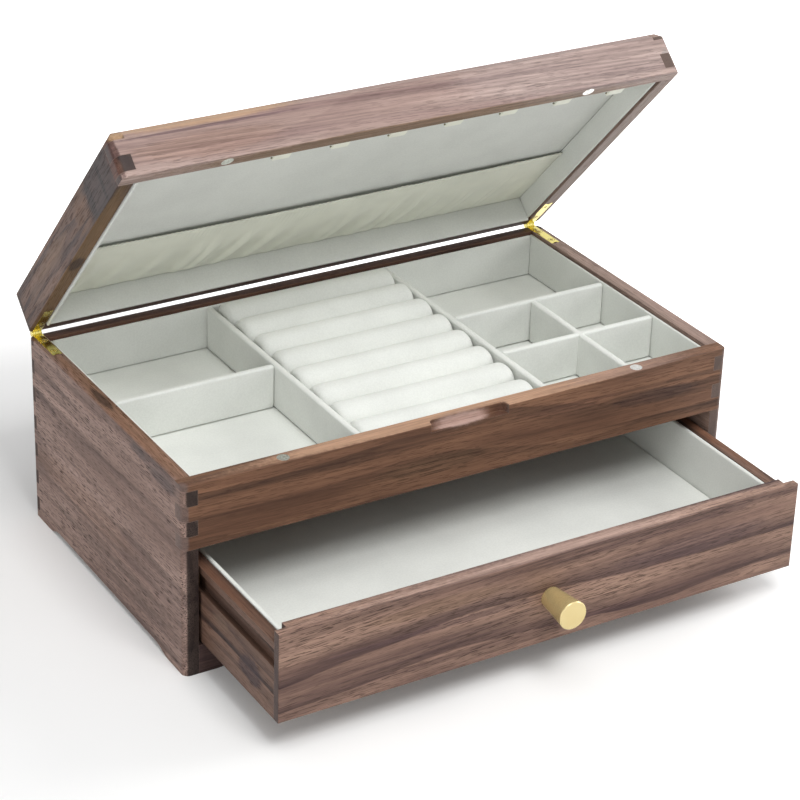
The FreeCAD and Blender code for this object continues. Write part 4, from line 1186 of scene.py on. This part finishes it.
def pocket_stand(pocket, folds, u, v, x, y):
    """How far the cloth stands off the ceiling at a share across and a share deep."""
    growth = smooth_step((v - 0.05) / 0.5) * (1 - 0.85 * v ** 6)
    hang = math.sin(math.pi * u) ** 0.6 if 0 < u < 1 else 0.0
    stand = pocket.cloth + (pocket.hem + pocket.gape * hang) * (1 - v) ** 1.5
    stand += pocket.sag * math.sin(math.pi * v ** 0.8) * hang
    rise = sum(fold_height(fold, x, v) for fold in folds)
    stand += rise * growth * hang ** 0.5
    # small puckers by the hem, the hem's own welt and an overall unevenness
    jitter = noise.noise(Vector((x * 90, 4.0, 0.0))) * 2.6
    small = math.sin(2 * math.pi * (x + 2 * v * MM) / pocket.pucker_width + jitter)
    uneven = 0.75 + 0.6 * noise.noise(Vector((x * 60, v * 3, 7.0)))
    stand += pocket.pucker * small * max(0.0, 1 - v / 0.36) ** 1.5 * uneven
    stand += 0.3 * MM * math.exp(-((v - 0.03) / 0.03) ** 2)
    stand += 0.2 * MM * noise.noise(Vector((x * 130, y * 60, 2.0)))
    return max(stand, pocket.cloth)


class RINGBOX_OT_pocket(bpy.types.Operator):
    """Gather the satin pocket across the back of the lid"""

    bl_idname = "ring_box.pocket"
    bl_label = "Lid pocket"

    def execute(self, context):
        pocket = context.scene.ring_box_pocket
        low, high = shut_box("lid_pocket")
        width, depth = high.x - low.x, high.y - low.y
        folds = pocket_folds(pocket, low.x, high.x)
        line = POCKET_ACROSS + 1
        vertices, faces = [], []
        for row in range(POCKET_DEEP + 1):
            v = row / POCKET_DEEP
            for column in range(line):
                u = column / POCKET_ACROSS
                x, y = low.x + width * u, low.y + depth * v
                stand = pocket_stand(pocket, folds, u, v, x, y)
                vertices.append(Vector((x, y, high.z - stand)))
        for row in range(POCKET_DEEP):
            for start in range(row * line, row * line + POCKET_ACROSS):
                faces.append([start, start + line, start + line + 1, start + 1])
        shell = Shell()
        shell.add(vertices, faces)
        piece = shell.piece("satin_lid_pocket", satin_finish(pocket), "lid", "satin",
                            ["lid_pocket"], lid=True)
        thick = piece.modifiers.new("Cloth thickness", "SOLIDIFY")
        thick.thickness = pocket.cloth
        thick.offset = 0.0
        return {"FINISHED"}


TAB_FIRST, TAB_PITCH, TAB_COUNT = -72.5 * MM, 30.7 * MM, 7
TAB_CELL, TAB_WAVE = 1.5 * MM, 0.1 * MM


class RINGBOX_OT_tabs(bpy.types.Operator):
    """Sew the cloth tabs along the lid's front liner, each with its knot"""

    bl_idname = "ring_box.tabs"
    bl_label = "Liner tabs"

    def execute(self, context):
        low = shut_box("lid_lining_walls")[0]
        corner = Vector((TAB_FIRST, low.y, low.z))
        for name, start, end, radius, finish in (
                ("satin_lid_tabs", (0.9, 0.0, -0.9), (10.0, 5.4, 0.4), 0.6,
                 satin_finish(context.scene.ring_box_pocket)),
                ("thread_lid_knots", (-0.5, 2.0, -0.9), (0.5, 3.2, 0.0), 0.45,
                 thread_finish())):
            shell = Shell()
            shell.padded_box(corner + Vector(start) * MM, corner + Vector(end) * MM,
                             radius * MM, TAB_CELL, TAB_WAVE)
            piece = shell.thing(name)
            repeat_in_a_row(piece, TAB_COUNT, (TAB_PITCH, 0.0, 0.0), finish)
            piece.data.transform(LID_OPEN)
            hand_over(piece, "lid")
        return {"FINISHED"}


DRAWER_FOLD = 1.5


class RINGBOX_OT_drawer(bpy.types.Operator):
    """Line the drawer's walls and lay its floor pad"""

    bl_idname = "ring_box.drawer"
    bl_label = "Drawer lining"

    def execute(self, context):
        velvet = context.scene.ring_box_velvet
        low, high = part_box("drawer_lining_walls")
        inner_low, inner_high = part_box("drawer_floor_pad")
        walls = (
            (low, (inner_low.x, high.y, high.z)),
            ((inner_high.x, low.y, low.z), high),
            ((inner_low.x, low.y, low.z), (inner_high.x, inner_low.y, high.z)),
            ((inner_low.x, inner_high.y, low.z), (inner_high.x, high.y, high.z)))
        velvet_piece(velvet, "velvet_drawer_walls", "drawer", "drawer_lining_walls", walls,
                     velvet.liner_fold * DRAWER_FOLD)
        tuck = Vector((velvet.tuck, velvet.tuck, 0.0))
        piece = velvet_piece(velvet, "velvet_drawer_floor", "drawer", "drawer_floor_pad",
                             [(inner_low + tuck, inner_high - tuck)], velvet.fold)
        return {"FINISHED"}


# ---------------------------------------------------------------------------
# Stage
# ---------------------------------------------------------------------------
CAMERA_TURN, CAMERA_RISE, CAMERA_ROLL = -31.0, 26.79, -1.63
CAMERA_AWAY, CAMERA_AIM = 1.27159, Vector((0.0, 0.0, 0.08934))
CAMERA_LENS, CAMERA_SENSOR = 115.6, 36.0
CAMERA_SHIFT = (0.02675, -0.0479)


def add_camera(scene):
    """A long lens above the box's front left corner."""
    turn, rise, roll = (math.radians(part) for part in (CAMERA_TURN, CAMERA_RISE,
                                                        CAMERA_ROLL))
    back = Vector((math.sin(turn) * math.cos(rise), -math.cos(turn) * math.cos(rise),
                   math.sin(rise)))
    right = Vector((0, 0, 1)).cross(back).normalized()
    up = back.cross(right)
    level = Matrix((right, up, back))
    lean = Matrix.Rotation(roll, 3, "Z")
    data = bpy.data.cameras.new("Camera")
    data.sensor_fit = "HORIZONTAL"
    data.sensor_width = CAMERA_SENSOR
    data.lens = CAMERA_LENS
    data.shift_x, data.shift_y = CAMERA_SHIFT
    data.clip_start, data.clip_end = 0.05, 50.0
    camera = bpy.data.objects.new("Camera", data)
    camera.matrix_world = (Matrix.Translation(CAMERA_AIM + back * CAMERA_AWAY)
                           @ (lean @ level).transposed().to_4x4())
    scene.collection.objects.link(camera)
    scene.camera = camera


def add_lamp(name, place, aim, size, power):
    """A soft square lamp that faces a point."""
    data = bpy.data.lights.new(name, "AREA")
    data.shape = "SQUARE"
    data.size = size
    data.energy = power
    lamp = bpy.data.objects.new(name, data)
    facing = (Vector(aim) - Vector(place)).to_track_quat("-Z", "Y")
    lamp.matrix_world = Matrix.Translation(place) @ facing.to_matrix().to_4x4()
    bpy.context.scene.collection.objects.link(lamp)


def seen_directly(wiring):
    """1 for rays that show the backdrop: from the eye, a mirror or glass."""
    path = wiring.add("ShaderNodeLightPath").outputs
    either = wiring.maths("MAXIMUM", path["Is Camera Ray"], path["Is Glossy Ray"])
    return wiring.maths("MAXIMUM", either, path["Is Transmission Ray"])


# each lamp's place, aim, size and the setting that holds its power
LAMPS = (
    ("Top lamp", (-0.2, -0.3, 1.5), (0, 0, 0.05), 1.0, "top"),
    ("Left lamp", (-1.2, -0.5, 0.32), (0, 0, 0.12), 0.6, "left"),
    ("Front lamp", (-0.05, -0.95, 1.45), (0, 0, 0.05), 0.6, "front"),
    ("Right lamp", (1.15, -0.45, 0.62), (0, 0, 0.1), 0.5, "right"),
)
BLACK, WHITE = (0.0, 0.0, 0.0, 1.0), (1.0, 1.0, 1.0, 1.0)
FLOOR_HALF = 4.0
# the floor is lifted evenly up to the first distance and not at all past the second
LIFT_NEAR, LIFT_FAR, LIFT_CENTRE = 0.24, 0.45, Vector((-0.14, -0.02, 0.0))


class RINGBOX_OT_stage(bpy.types.Operator):
    """Set up the pale floor, the soft lamps, the backdrop and the camera"""

    bl_idname = "ring_box.stage"
    bl_label = "Stage"

    def execute(self, context):
        scene = context.scene
        stage = scene.ring_box_stage
        world = bpy.data.worlds.new("Backdrop")
        world.use_nodes = True
        wiring = Wiring(world.node_tree)
        background = world.node_tree.nodes["Background"]
        way = wiring.add("ShaderNodeTexCoord").outputs["Generated"]
        sky = wiring.ease(wiring.split(way)["Z"], 0.0, 0.8, stage.horizon, stage.world)
        wiring.fill(background, {
            "Color": wiring.blend(seen_directly(wiring), wiring.grey(sky), WHITE),
            "Strength": 1.0})
        scene.world = world
        scene.view_settings.view_transform = "Standard"

        material, wiring, shader = new_material("Pale floor")
        place = wiring.place()
        cloud = wiring.noise(place, scale=3.0, detail=2.0)
        flat = wiring.vector("ADD", wiring.vector("MULTIPLY", place, (1.0, 1.0, 0.0)),
                             -LIFT_CENTRE)
        fade = wiring.ease(wiring.length(flat), LIFT_NEAR, LIFT_FAR, stage.lift, 1.0)
        wiring.fill(shader, {
            "Base Color": wiring.blend(wiring.ease(cloud, 0.3, 0.7), stage.floor,
                                       linear(240, 240, 239)),
            "Roughness": 0.9, "Specular IOR Level": 0.1,
            "Emission Color": wiring.blend(seen_directly(wiring), BLACK,
                                           wiring.grey(fade)),
            "Emission Strength": 1.0})
        mesh = bpy.data.meshes.new("floor")
        mesh.from_pydata([(-FLOOR_HALF, -FLOOR_HALF, 0), (FLOOR_HALF, -FLOOR_HALF, 0),
                          (FLOOR_HALF, FLOOR_HALF, 0), (-FLOOR_HALF, FLOOR_HALF, 0)],
                         [], [(0, 1, 2, 3)])
        mesh.materials.append(material)
        floor = bpy.data.objects.new("floor", mesh)
        scene.collection.objects.link(floor)

        for name, spot, aim, size, setting in LAMPS:
            add_lamp(name, spot, aim, size, getattr(stage, setting))
        add_camera(scene)
        return {"FINISHED"}


OPERATORS = (
    RINGBOX_OT_stage, RINGBOX_OT_boards, RINGBOX_OT_metal, RINGBOX_OT_tray,
    RINGBOX_OT_ring_rolls, RINGBOX_OT_lid_lining, RINGBOX_OT_pocket, RINGBOX_OT_tabs,
    RINGBOX_OT_drawer,
)


class RINGBOX_PT_panel(bpy.types.Panel):
    """Lists the makers of the ring box's pieces and their settings"""

    bl_idname = "RINGBOX_PT_panel"
    bl_label = "Ring Box"
    bl_space_type = "VIEW_3D"
    bl_region_type = "UI"
    bl_category = "Ring Box"

    def draw(self, context):
        for name, settings in SETTINGS.items():
            box = self.layout.box()
            box.label(text=name.replace("_", " ").capitalize())
            for label in settings.__annotations__:
                box.prop(getattr(context.scene, name), label)
        for maker in OPERATORS:
            self.layout.operator(maker.bl_idname)


CLASSES = (*SETTINGS.values(), *OPERATORS, RINGBOX_PT_panel)


def register():
    """Make the settings, the operators and the panel known to Blender."""
    for made in CLASSES:
        bpy.utils.register_class(made)
    for name, settings in SETTINGS.items():
        setattr(bpy.types.Scene, name, bpy.props.PointerProperty(type=settings))


def unregister():
    """Take the settings, the operators and the panel away again."""
    for name in SETTINGS:
        delattr(bpy.types.Scene, name)
    for made in reversed(CLASSES):
        bpy.utils.unregister_class(made)


def main():
    """Make every piece in order."""
    register()
    for maker in OPERATORS:
        family, action = maker.bl_idname.split(".")
        if "FINISHED" not in getattr(getattr(bpy.ops, family), action)():
            raise RuntimeError(f"{maker.bl_label} was not made")


if __name__ == "__main__":
    main()
